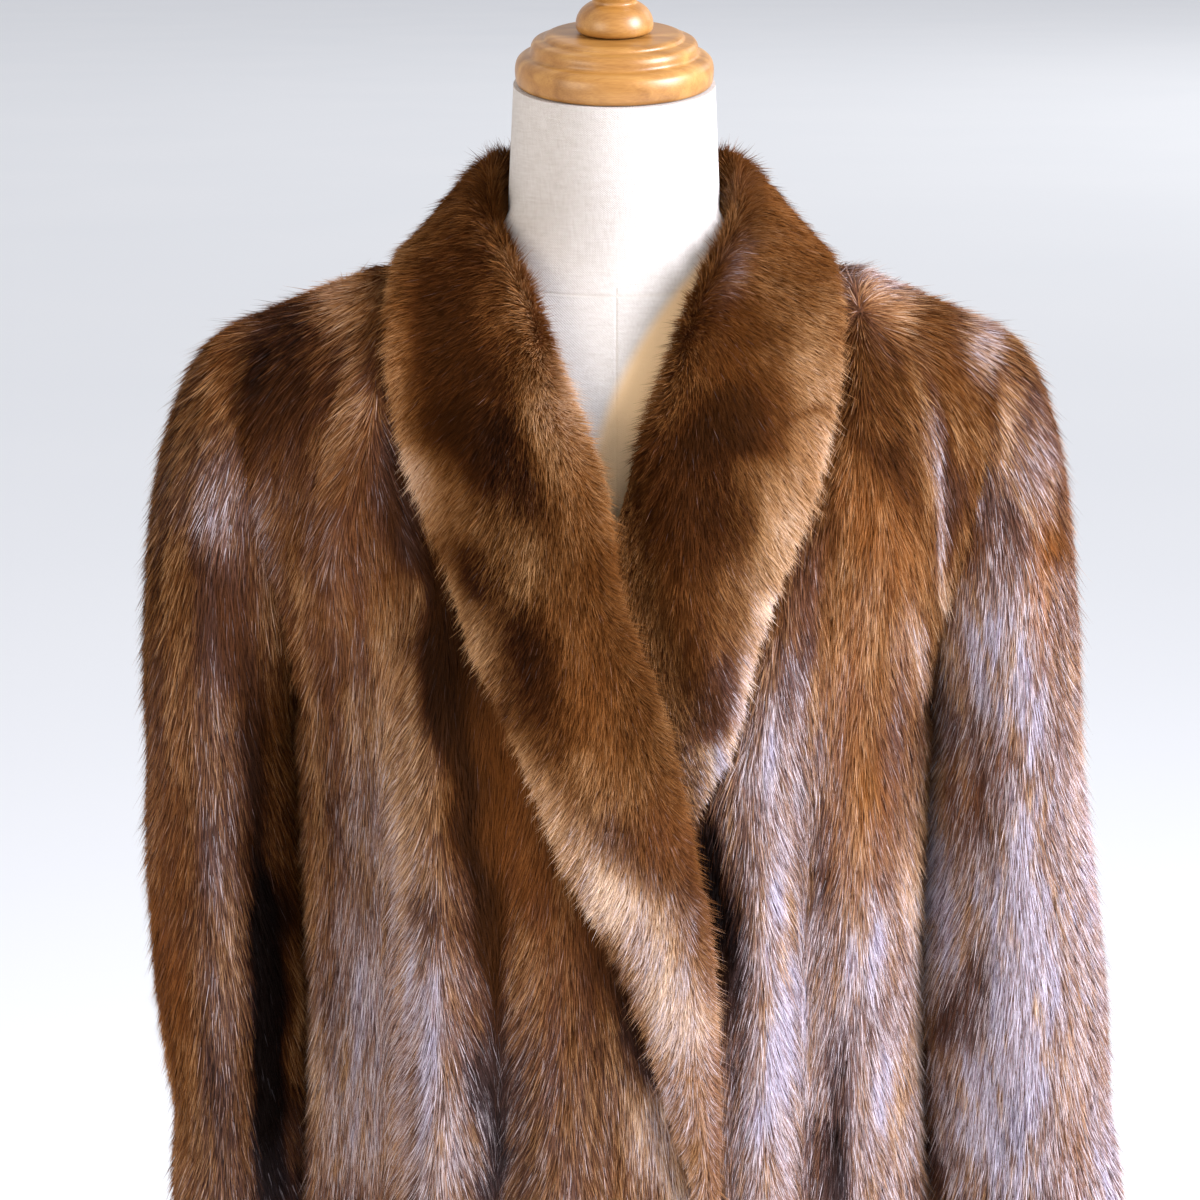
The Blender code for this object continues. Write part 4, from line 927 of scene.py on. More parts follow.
def linear(colour):    # an sRGB hex colour as linear values
    channels = [int(colour[k:k + 2], 16) / 255.0 for k in (1, 3, 5)]
    return (*[c / 12.92 if c <= 0.04045 else ((c + 0.055) / 1.055) ** 2.4 for c in channels], 1.0)


def newMaterial(name):
    material = bpy.data.materials.new(name)
    material.use_nodes = True
    return material, material.node_tree, material.node_tree.nodes["Principled BSDF"]


# Colours of the hairs and the pelt. The haze and glint colours, mild and blue, are painted sheen and painted
# highlights; warm is the flanks' own colour.
furColours = {
    "hair": ((0.0, "#0c0402"), (0.25, "#361907"), (0.5, "#704925"), (0.75, "#b58b60"), (1.0, "#ecceb0")),
    "warm": "#9a5a26", "sheenHaze": ("#8e787e", "#8c87a4"), "glint": ("#d0c4ca", "#cac6db"),
    "under": ((0.10, "#0e0502"), (0.40, "#2f1708"), (0.70, "#613a1b"), (1.0, "#8f6238")),
    "underWarm": "#743d17", "underSheenHaze": "#8f7c78",
}
# How strongly each field shows in the hairs, and between which amounts the painted sheen turns blue and gives
# painted glints.
furShares = {
    "tuft": 0.25, "along": 0.30, "warm": 0.8, "sheenHaze": 0.80, "bright": 0.80, "gleam": 0.80, "smoother": -0.12,
    "cold": (0.60, 0.957143), "glint": (0.98, 1.18),
}


# Guard hairs of dark mink: brown, darker in the stripe down each pelt's back, warm on the flanks, and
# with painted sheen: a silvery haze and painted glints where the window's light would lie on flat hairs,
# bluer where it is strongest. What the eye sees is strands and tufts, not a flat brown. A guard hair
# is about 0.03 mm thick, too fine to show, so each one drawn is 0.45 mm wide and stands for a lock.
def guardHairMaterial(name, rough, gloss, variety):
    material, tree, shader = newMaterial(name)
    paint = addNode(tree, "ShaderNodeAttribute", output="Vector", attribute_name="paint")
    tone, warm, paintedSheen = addNode(tree, "ShaderNodeSeparateXYZ", (paint,), None)
    strand, tuft, along = [addNode(tree, "ShaderNodeAttribute", output="Fac", attribute_name=field)
                           for field in ("strand", "tuft", "along")]
    # Each hair's tone varies by strand and tuft, and is darker towards its root: painted shade deep in the
    # fur.
    for part, amount in ((strand, variety), (tuft, variety * furShares["tuft"]),
                         (along, furShares["along"])):
        centred = addNode(tree, "ShaderNodeMath", (part, 0.5), operation="SUBTRACT")
        tone = addNode(tree, "ShaderNodeMath", (centred, amount, tone), operation="MULTIPLY_ADD")
    colour = addNode(tree, "ShaderNodeValToRGB", (tone,), stops=furColours["hair"])
    bright = addNode(tree, "ShaderNodeMath", (paintedSheen, furShares["bright"], strand), operation="MULTIPLY_ADD")
    glint, cold = [addNode(tree, "ShaderNodeMapRange",
                           {"Value": value, "From Min": furShares[part][0], "From Max": furShares[part][1]})
                   for value, part in ((bright, "glint"), (paintedSheen, "cold"))]
    sheenHaze, gleam = [addNode(tree, "ShaderNodeMix", {0: cold, 6: linear(mild), 7: linear(blue)}, 2,
                           data_type="RGBA")
                   for mild, blue in (furColours["sheenHaze"], furColours["glint"])]
    warmBrown = linear(furColours["warm"])
    for value, part, tint in ((warm, "warm", warmBrown), (paintedSheen, "sheenHaze", sheenHaze), (glint, "gleam", gleam)):
        share = addNode(tree, "ShaderNodeMath", (value, furShares[part]), operation="MULTIPLY")
        colour = addNode(tree, "ShaderNodeMix", {0: share, 6: colour, 7: tint}, 2, data_type="RGBA")
    shine = addNode(tree, "ShaderNodeMath", (glint, furShares["smoother"], rough), operation="MULTIPLY_ADD")
    fillInputs(tree, shader, {"Base Color": colour, "Roughness": shine, "Specular IOR Level": gloss})
    return material


# The pelt under the hairs: short dense underfur outside, seen only as the dark between hairs.
# Its fibres are about 0.02 mm, far too fine to show, so the noise draws tufts of 2 by 11 mm.
def underfurMaterial():
    material, tree, shader = newMaterial("minkUnderfur")
    place = addNode(tree, "ShaderNodeTexCoord", output="Object")
    combed = addNode(tree, "ShaderNodeMapping", {"Vector": place, "Scale": (420.0, 420.0, 90.0)})
    hair = addNode(tree, "ShaderNodeTexNoise", {"Vector": combed, "Scale": 1.0, "Detail": 3.0})
    patch = addNode(tree, "ShaderNodeTexNoise", {"Vector": place, "Scale": 22.0, "Detail": 2.0})
    paint = addNode(tree, "ShaderNodeAttribute", output="Vector", attribute_name="paint")
    tone, warm, paintedSheen = addNode(tree, "ShaderNodeSeparateXYZ", (paint,), None)
    shade = addNode(tree, "ShaderNodeMath", (hair, 0.35), operation="MULTIPLY")
    for part, amount in ((patch, 0.15), (tone, 0.6)):
        shade = addNode(tree, "ShaderNodeMath", (part, amount, shade), operation="MULTIPLY_ADD")
    colour = addNode(tree, "ShaderNodeValToRGB", (shade,), stops=furColours["under"])
    # Painted sheen lies on the pelt too, under the hairs that carry it.
    for part, amount, tint in ((warm, 0.6, "underWarm"), (paintedSheen, 0.7, "underSheenHaze")):
        share = addNode(tree, "ShaderNodeMath", (part, amount), operation="MULTIPLY")
        colour = addNode(tree, "ShaderNodeMix", {0: share, 6: colour, 7: linear(furColours[tint])}, 2,
                         data_type="RGBA")
    bump = addNode(tree, "ShaderNodeBump", {"Strength": 0.7, "Distance": 0.0015, "Height": hair})
    fillInputs(tree, shader, {"Base Color": colour, "Normal": bump, "Roughness": 0.9,
                              "Specular IOR Level": 0.1})
    return material


# One hair is a slim triangle that stands on its short side, its face towards +Y.
def bladeObject():
    mesh = bpy.data.meshes.new("hairBlade")
    mesh.from_pydata([(0.5, 0.0, 0.0), (-0.5, 0.0, 0.0), (0.0, 0.0, 1.0)], [], [(0, 1, 2)])
    along = mesh.attributes.new("along", "FLOAT", "POINT")
    along.data.foreach_set("value", [0.0, 0.0, 1.0])
    return bpy.data.objects.new("hairBlade", mesh)


furInputs = (
    ("Blade", "NodeSocketObject", None), ("Density", "NodeSocketFloat", 500000.0),
    ("Length", "NodeSocketFloat", 0.014), ("Width", "NodeSocketFloat", 0.0007),
    ("Spread", "NodeSocketFloat", 0.20), ("Wander", "NodeSocketFloat", 0.9),
    ("Clump", "NodeSocketFloat", 0.55), ("Tuft Size", "NodeSocketFloat", 0.0075),
    ("Roll", "NodeSocketFloat", 0.9), ("Seed", "NodeSocketInt", 1),
    ("Material", "NodeSocketMaterial", None),
)


# Hairs: how their length, width and lift vary, and how large and strong the drifts of the comb are.
hairRules = {
    "reach": (0.68, 0.98), "rarity": 7.0, "stretch": 0.92, "plump": (0.6, 1.2), "tuftLength": (0.25, 0.85),
    "tuftLift": (0.7, 0.65), "leastLift": 0.20, "drifts": (22.0, 110.0), "finerDrift": 0.4,
}


# The way a hair points: combed flow and lift, two sizes of drift, scatter, then the middle of its tuft.
def hairTurn(tree, given, tuft, place, cell):
    out, flow = [addNode(tree, "GeometryNodeInputNamedAttribute", {"Name": name}, data_type="FLOAT_VECTOR")
                 for name in ("out", "flow")]
    rise = addNode(tree, "GeometryNodeInputNamedAttribute", {"Name": "lift"}, data_type="FLOAT")
    side = addNode(tree, "FunctionNodeRandomValue", {2: -1.0, 3: 1.0, "Seed": 5}, 1, data_type="FLOAT")
    scatter = addNode(tree, "FunctionNodeRandomValue",
                      {0: (-1.0, -1.0, -1.0), 1: (1.0, 1.0, 1.0), "Seed": 11}, data_type="FLOAT_VECTOR")
    toCell = addNode(tree, "ShaderNodeVectorMath", (cell, place), operation="SUBTRACT")
    above = addNode(tree, "ShaderNodeVectorMath", (toCell, out), "Value", operation="DOT_PRODUCT")
    above = addNode(tree, "ShaderNodeVectorMath", {0: out, "Scale": above}, operation="SCALE")
    toCell = addNode(tree, "ShaderNodeVectorMath", (toCell, above), operation="SUBTRACT")
    gather = addNode(tree, "ShaderNodeMath", (given["Clump"], given["Length"]), operation="DIVIDE")

    lift = addNode(tree, "ShaderNodeMath", (tuft, *hairRules["tuftLift"]), operation="MULTIPLY_ADD")
    lift = addNode(tree, "ShaderNodeMath", (rise, lift), operation="MULTIPLY")
    finer = addNode(tree, "ShaderNodeMath", (given["Wander"], hairRules["finerDrift"]), operation="MULTIPLY")
    turns = [(out, lift)]
    for scale, amount in zip(hairRules["drifts"], (given["Wander"], finer)):
        noise = addNode(tree, "ShaderNodeTexNoise", {"Scale": scale, "Detail": 1.0}, "Color")
        noise = addNode(tree, "ShaderNodeVectorMath", (noise, (0.5, 0.5, 0.5)), operation="SUBTRACT")
        turns.append((noise, amount))
    way = flow
    for part, amount in turns + [(scatter, given["Spread"]), (toCell, gather)]:
        part = addNode(tree, "ShaderNodeVectorMath", {0: part, "Scale": amount}, operation="SCALE")
        way = addNode(tree, "ShaderNodeVectorMath", (way, part), operation="ADD")
    stand = addNode(tree, "ShaderNodeVectorMath", (way, out), "Value", operation="DOT_PRODUCT")
    lack = addNode(tree, "ShaderNodeMath", (hairRules["leastLift"], stand), operation="SUBTRACT")
    lack = addNode(tree, "ShaderNodeMath", (lack, 0.0), operation="MAXIMUM")
    raised = addNode(tree, "ShaderNodeVectorMath", {0: out, "Scale": lack}, operation="SCALE")
    way = addNode(tree, "ShaderNodeVectorMath", (way, raised), operation="ADD")
    way = addNode(tree, "ShaderNodeVectorMath", (way,), operation="NORMALIZE")
    turned = addNode(tree, "FunctionNodeAlignRotationToVector", {"Vector": way}, axis="Z")
    turned = addNode(tree, "FunctionNodeAlignRotationToVector", {"Rotation": turned, "Vector": out},
                     axis="Y", pivot_axis="Z")
    angle = addNode(tree, "ShaderNodeMath", (side, given["Roll"]), operation="MULTIPLY")
    spin = addNode(tree, "FunctionNodeAxisAngleToRotation", {"Axis": (0.0, 0.0, 1.0), "Angle": angle})
    return addNode(tree, "FunctionNodeRotateRotation", {"Rotation": turned, "Rotate By": spin},
                   rotation_space="LOCAL")


# A hair's width and length: most are near one length, and a few stand out beyond the rest.
def hairSize(tree, given, tuft):
    size, broad = [addNode(tree, "GeometryNodeInputNamedAttribute", {"Name": name}, data_type="FLOAT")
                   for name in ("size", "broad")]
    reach, rare, plump = [
        addNode(tree, "FunctionNodeRandomValue", {2: low, 3: high, "Seed": seed}, 1, data_type="FLOAT")
        for (low, high), seed in ((hairRules["reach"], 7), ((0.0, 1.0), 8), (hairRules["plump"], 9))]
    rare = addNode(tree, "ShaderNodeMath", (rare, hairRules["rarity"]), operation="POWER")
    reach = addNode(tree, "ShaderNodeMath", (reach, rare), operation="ADD")
    fuller = addNode(tree, "ShaderNodeMath", (tuft, *hairRules["tuftLength"]), operation="MULTIPLY_ADD")
    long = addNode(tree, "ShaderNodeMath", (reach, hairRules["stretch"]), operation="MULTIPLY")
    for factor in (given["Length"], size, fuller):
        long = addNode(tree, "ShaderNodeMath", (long, factor), operation="MULTIPLY")
    wide = addNode(tree, "ShaderNodeMath", (given["Width"], plump), operation="MULTIPLY")
    wide = addNode(tree, "ShaderNodeMath", (wide, broad), operation="MULTIPLY")
    return addNode(tree, "ShaderNodeCombineXYZ", (wide, 1.0, long))


def furTree():
    tree = bpy.data.node_groups.new("furHairs", "GeometryNodeTree")
    tree.interface.new_socket("Geometry", in_out="OUTPUT", socket_type="NodeSocketGeometry")
    tree.interface.new_socket("Geometry", in_out="INPUT", socket_type="NodeSocketGeometry")
    for name, kind, value in furInputs:
        socket = tree.interface.new_socket(name, in_out="INPUT", socket_type=kind)
        if value is not None:
            socket.default_value = value
    given = addNode(tree, "NodeGroupInput", output=None)
    cover = addNode(tree, "GeometryNodeInputNamedAttribute", {"Name": "cover"}, data_type="FLOAT")
    strand = addNode(tree, "FunctionNodeRandomValue", {2: 0.0, 3: 1.0, "Seed": 13}, 1, data_type="FLOAT")
    density = addNode(tree, "ShaderNodeMath", (given["Density"], cover), operation="MULTIPLY")
    points = addNode(tree, "GeometryNodeDistributePointsOnFaces",
                     {"Mesh": given["Geometry"], "Density": density, "Seed": given["Seed"]})

    place = addNode(tree, "GeometryNodeInputPosition")
    cellsPerMetre = addNode(tree, "ShaderNodeMath", (1.0, given["Tuft Size"]), operation="DIVIDE")
    cells = addNode(tree, "ShaderNodeTexVoronoi", {"Vector": place, "Scale": cellsPerMetre}, None)
    tuft = addNode(tree, "ShaderNodeSeparateXYZ", (cells["Color"],))
    turned = hairTurn(tree, given, tuft, place, cells["Position"])
    scale = hairSize(tree, given, tuft)
    for name, value in (("tuft", tuft), ("strand", strand)):
        points = addNode(tree, "GeometryNodeStoreNamedAttribute",
                         {"Geometry": points, "Name": name, "Value": value},
                         data_type="FLOAT", domain="POINT")
    blade = addNode(tree, "GeometryNodeObjectInfo", {"Object": given["Blade"]}, "Geometry")
    hairs = addNode(tree, "GeometryNodeInstanceOnPoints",
                    {"Points": points, "Instance": blade, "Rotation": turned, "Scale": scale})
    solid = addNode(tree, "GeometryNodeRealizeInstances", {"Geometry": hairs})
    clad = addNode(tree, "GeometryNodeSetMaterial", {"Geometry": solid, "Material": given["Material"]})
    addNode(tree, "NodeGroupOutput", {"Geometry": clad}, None)
    return tree


# Soft random fields in the fur: how much of its height each keeps, and its patch size in metres. Some vary
# only the painted sheen.
drifts = {
    "stripe": (0.3, 0.12), "streak": (0.22, 0.012), "patch": (0.5, 0.035), "warmth": (0.4, 0.05),
    "shine": (0.35, 0.03), "fine": (0.25, 0.0035), "sideways": (0.6, 0.022), "upwards": (0.8, 0.030),
    "paintedSheen": (0.2, 0.004), "lowerSheen": (0.3, 0.040),
}
# How stripes, marks and the painted sheen on the lower front are laid on: the girth that stripes are counted
# round, where the front ends, how far outlines waver, where that lower sheen starts and how softly, and the
# limits of tone, warmth and painted sheen.
painting = {
    "frontEnd": 0.9, "frontSoft": 0.04, "waver": (0.0035, 0.0012, 0.0080), "warmth": 0.10,
    "girth": 0.16, "nearAxis": 0.02, "stripeDrift": 0.8, "warmFlank": 0.5,
    "lowerSheenTop": 0.92, "lowerSheenSoft": 0.08, "lowerSheenFront": (0.5, 0.12), "lowerSheenDrift": (0.8, 0.4),
    "paintedSheenDrift": (0.88, 0.36), "limits": ((-0.32, 1.0), (0.0, 1.0), (0.0, 0.85)),
}


def drifting(roots, kind, seed):    # about -1 to 1
    kept, size = drifts[kind]
    places = roots * (1.0, 1.0, kept)
    rng = np.random.default_rng(seed + list(drifts).index(kind))
    total = np.zeros(len(places))
    waves, pitch, level = 6, 2.2, 2.6
    for _ in range(waves):
        wave = rng.normal(size=3) * pitch / size
        total += np.sin(places @ wave + rng.uniform(0.0, math.tau))
    return total / level


def tonesAt(roots, settings):    # tone, warmth and painted sheen of the fur at these places
    x, y, z = roots.T
    seed, stripe = settings["seed"], settings["stripe"]
    tone, warm, paintedSheen = [np.full(len(roots), start) for start in settings["tone"]]
    if stripe:
        girth = painting["girth"]
        angle = x / girth
        if settings["round"]:
            angle = np.arctan2(x - settings["axis"], np.abs(y) + painting["nearAxis"])
        drift = drifting(roots, "stripe", seed) * painting["stripeDrift"]
        wave = np.cos(angle * girth * math.tau / settings["pelt"] + drift)
        tone -= stripe * np.maximum(wave, 0.0) ** 2
        warm += stripe * painting["warmFlank"] * np.maximum(-wave, 0.0)
    streak = drifting(roots, "streak", seed)
    tone += settings["streak"] * streak + settings["patch"] * drifting(roots, "patch", seed)
    warm += painting["warmth"] * drifting(roots, "warmth", seed)
    # Painted sheen, in soft drifts over the fur.
    paintedSheen += settings["shine"] * np.maximum(drifting(roots, "shine", seed), 0.0)
    tone += settings["fine"] * drifting(roots, "fine", seed)
    facing = np.clip(painting["frontEnd"] - y / painting["frontSoft"], 0.0, 1.0)
    broadWaver, fineWaver, waverUp = painting["waver"]
    x = x + broadWaver * drifting(roots, "sideways", seed) + fineWaver * streak
    z = z + waverUp * drifting(roots, "upwards", seed)
    # Each mark lightens or darkens the tone, warms, and adds painted sheen; many stand for painted shade and
    # painted highlights.
    for mark in settings["marks"]:
        markX, markZ, width, height = mark[:4]
        turn = math.radians(mark[4])
        dTone, dWarm, dPaintedSheen = [share / 100 for share in mark[5:]]
        u = ((x - markX) * math.cos(turn) - (z - markZ) * math.sin(turn)) / width
        v = ((x - markX) * math.sin(turn) + (z - markZ) * math.cos(turn)) / height
        tone += dTone * np.exp(-(u ** 2 + v ** 4) ** 1.3) * facing
        soft = np.exp(-u ** 2 - v ** 2) * facing
        warm += dWarm * soft
        paintedSheen += dPaintedSheen * soft
    # Painted sheen on the lower front: lighter and more silvery below the given height.
    below = np.clip((painting["lowerSheenTop"] - z) / painting["lowerSheenSoft"], 0.0, 1.0)
    (start, over), (least, more) = painting["lowerSheenFront"], painting["lowerSheenDrift"]
    below *= np.clip(start - y / over, 0.0, 1.0)
    below *= least + more * drifting(roots, "lowerSheen", 0)
    tone += settings["lowerSheen"][0] * below
    paintedSheen += settings["lowerSheen"][1] * below
    least, more = painting["paintedSheenDrift"]
    paintedSheen *= least + more * drifting(roots, "paintedSheen", seed)
    return np.stack([np.clip(values, low, high)
                     for values, (low, high) in zip((tone, warm, paintedSheen), painting["limits"])], axis=1)


def paintPelt(mesh, settings):
    points = np.empty(len(mesh.vertices) * 3, dtype=np.float32)
    mesh.vertices.foreach_get("co", points)
    layer = mesh.attributes.new("paint", "FLOAT_VECTOR", "POINT")
    tones = tonesAt(points.reshape(-1, 3).astype(float), settings)
    layer.data.foreach_set("vector", tones.astype(np.float32).reshape(-1))


# A flat layout round each piece, so that each hair keeps its own place in it. The body's panels go half
# way round.
layout = {"nearAxis": 0.02, "hairs": 0.9, "bottom": 0.44, "height": 1.05, "round": 0.9, "half": 1.8,
          "margin": 0.001}


def paintHairs(mesh, settings):
    count = len(mesh.vertices) // 3
    points = np.empty(count * 9, dtype=np.float32)
    mesh.vertices.foreach_get("co", points)
    roots = points.reshape(-1, 3, 3)[:, :2].mean(axis=1).astype(float)
    x, y = roots[:, 0], roots[:, 1]
    layer = mesh.attributes.new("paint", "FLOAT_VECTOR", "POINT")
    tones = np.repeat(tonesAt(roots, settings), 3, axis=0)
    layer.data.foreach_set("vector", tones.astype(np.float32).reshape(-1))
    ahead = -y if settings["round"] else np.abs(y) + layout["nearAxis"]
    wrap = np.arctan2(x - settings["axis"], ahead) / math.tau
    local = (points.reshape(-1, 3, 3)[..., 0] - x[:, None]) * layout["hairs"]
    v = (points.reshape(-1, 3, 3)[..., 2] - layout["bottom"]) / layout["height"]
    u = 0.5 + (wrap[:, None] + local) * layout["round" if settings["round"] else "half"]
    places = np.clip(np.stack([u, v], axis=-1), layout["margin"], 1.0 - layout["margin"])
    flat = mesh.uv_layers.new(name="OFBake")
    flat.data.foreach_set("uv", places.astype(np.float32).reshape(-1))


def growFur(name, panel, settings, tree, blade, material):
    roots = rootObject(name + "Roots", panel)
    modifier = roots.modifiers.new("fur", "NODES")
    modifier.node_group = tree
    sockets = {item.name: item.identifier for item in tree.interface.items_tree if item.in_out == "INPUT"}
    values = {"Blade": blade, "Density": settings["hairs"] / coveredArea(panel), "Length": settings["length"],
              "Width": settings["width"], "Spread": settings["spread"], "Wander": settings["wander"],
              "Clump": settings["clump"], "Tuft Size": settings["tuft"], "Roll": settings["roll"],
              "Seed": settings["seed"], "Material": material}
    for key, value in values.items():
        modifier[sockets[key]] = value
    depsgraph = bpy.context.evaluated_depsgraph_get()
    mesh = bpy.data.meshes.new_from_object(roots.evaluated_get(depsgraph), depsgraph=depsgraph)
    roots.modifiers.remove(modifier)
    bpy.data.objects.remove(roots, do_unlink=True)
    mesh.name = name
    if not mesh.materials:
        mesh.materials.append(material)
    paintHairs(mesh, settings)
    return addObject(name, mesh)


furTreeUsed = furTree()
hairBlade = bladeObject()
guardHair = guardHairMaterial("minkGuardHair", 0.50, 0.04, 0.40)
plushHair = guardHairMaterial("minkPlushHair", 0.60, 0.02, 0.24)
underfur = underfurMaterial()
base = {"length": 0.0120, "width": 0.00050, "spread": 0.13, "wander": 0.32, "clump": 0.16, "tuft": 0.0036,
        "roll": 0.9, "tone": (0.40, 0.12, 0.0), "stripe": 0.0, "pelt": 0.050, "streak": 0.06, "patch": 0.05,
        "fine": 0.05, "shine": 0.06, "lowerSheen": (0.0, 0.0), "axis": 0.0, "round": False}
furFrontRight = {**base, "hairs": 178000, "seed": 3, "stripe": 0.06, "lowerSheen": (0.10, 0.20),
                 "marks": marksOn("furFrontRight")}
furFrontLeft = {**base, "hairs": 150000, "seed": 17, "stripe": 0.06, "lowerSheen": (0.12, 0.26),
                "marks": marksOn("furFrontLeft")}
furBack = {**base, "hairs": 112000, "seed": 29, "stripe": 0.20, "width": 0.00070, "length": 0.0135,
           "shine": 0.0, "lowerSheen": (0.11, 0.23), "marks": marksOn("furFrontRight") + marksOn("furFrontLeft")}
furSleeveRight = {**base, "hairs": 95000, "seed": 41, "stripe": 0.10, "axis": -0.22, "round": True,
                  "lowerSheen": (0.04, 0.14), "marks": marksOn("furSleeveRight")}
furSleeveLeft = {**base, "hairs": 115000, "seed": 53, "stripe": 0.10, "axis": 0.235, "round": True,
                 "lowerSheen": (0.06, 0.24), "marks": marksOn("furSleeveLeft")}
plush = {**base, "length": 0.0085, "width": 0.00044, "spread": 0.22, "tuft": 0.0045, "streak": 0.03,
         "fine": 0.03, "shine": 0.0}
furCollarRight = {**plush, "hairs": 112000, "seed": 67, "tone": (0.33, 0.10, 0.0),
                  "marks": marksOn("furCollarRight")}
furCollarLeft = {**plush, "hairs": 82000, "seed": 79, "tone": (0.36, 0.12, 0.0),
                 "marks": marksOn("furCollarLeft")}

# Each panel: pelt, hairs, the CAD node it stands for, its cut, and what carries it.
panels = (
    ("frontRight", "front_right", frontPanel(right), furFrontRight, (0.39, 0.98), 0.264, "hung"),
    ("frontLeft", "front_left", frontPanel(left), furFrontLeft, (0.36, 0.98), 0.245, "hung"),
    ("back", "back", backPanel(), furBack, (0.66, 0.97), 0.457, "hung"),
    ("sleeveRight", "sleeve_right", sleevePanel(right), furSleeveRight, (0.51, 0.59), 0.168, "hung"),
    ("sleeveLeft", "sleeve_left", sleevePanel(left), furSleeveLeft, (0.51, 0.59), 0.170, "hung"),
    ("collarRight", "collar_right", collarPanel(right), furCollarRight, (0.125, 0.78), 0.052, "draped"),
    ("collarLeft", "collar_left", collarPanel(left), furCollarLeft, (0.125, 0.58), 0.044, "draped"),
)
addWhorl(panels[1][2])
print("panels laid out")
for name, node, panel, settings, cut, area, held in panels:
    pelt = wallObject(name + "Pelt", panel["inner"], panel["root"], panel["closed"])
    pelt.data.materials.append(underfur)
    paintPelt(pelt.data, settings)
    hairMaterial = plushHair if "collar" in name else guardHair
    hairs = growFur(name + "Hairs", panel, settings, furTreeUsed, hairBlade, hairMaterial)
    for piece in (pelt, hairs):
        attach(piece, "root")
        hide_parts(node)
    print(name, len(pelt.data.polygons), "faces,", len(hairs.data.polygons), "hairs")
bpy.data.objects.remove(hairBlade, do_unlink=True)


# Dress form: a linen cover over a padded torso, with a leaning neck.
form = {
    "z":     (0.700, 0.712, 0.780, 0.880, 0.980, 1.080, 1.180, 1.240, 1.280, 1.306),
    "side":  (0.128, 0.136, 0.146, 0.130, 0.112, 0.124, 0.143, 0.148, 0.156, 0.172),
    "front": (0.092, 0.098, 0.104, 0.094, 0.088, 0.102, 0.114, 0.109, 0.099, 0.089),
    "back":  (0.096, 0.102, 0.110, 0.096, 0.084, 0.090, 0.098, 0.102, 0.099, 0.094),
    "power": (2.10, 2.10, 2.10, 2.10, 2.10, 2.10, 2.05, 1.95, 1.80, 1.60),
}
formShoulder = {
    "z":     (1.318, 1.330, 1.342, 1.352, 1.360),
    "front": (0.082, 0.076, 0.068, 0.0605, 0.0570),
    "back":  (0.088, 0.079, 0.067, 0.0570, 0.0555),
    "power": (1.50, 1.50, 1.50, 1.52, 1.55),
}
formNeck = {
    "z":     (1.3665, 1.380, 1.398, 1.420, 1.4535),
    "side":  (0.0575, 0.0566, 0.0560, 0.0547, 0.0528),
    "y": -0.001, "lean": math.radians(13.5), "capLean": math.radians(10.0),
    "footZ": 1.364, "footReach": 0.035,
}
formFine = {"points": 96, "step": 0.009, "hollow": 26, "hollowFrom": 0.012, "hollowOver": 0.02,
            "clearance": 0.0006}


def levelRing(z, side, frontDepth, backDepth, y=0.0, power=2.1, lean=0.0):
    ring = []
    for k in range(formFine["points"]):
        angle = math.tau * k / formFine["points"]
        c, s = math.cos(angle), math.sin(angle)
        depth = backDepth if s > 0.0 else frontDepth
        dx = side * math.copysign(abs(c) ** (2.0 / power), c)
        dy = depth * math.copysign(abs(s) ** (2.0 / power), s)
        ring.append((dx, y + dy, z + dy * math.tan(lean)))
    return ring


def neckMiddle(z):
    return formNeck["y"] - (z - formNeck["z"][0]) * math.tan(formNeck["lean"])


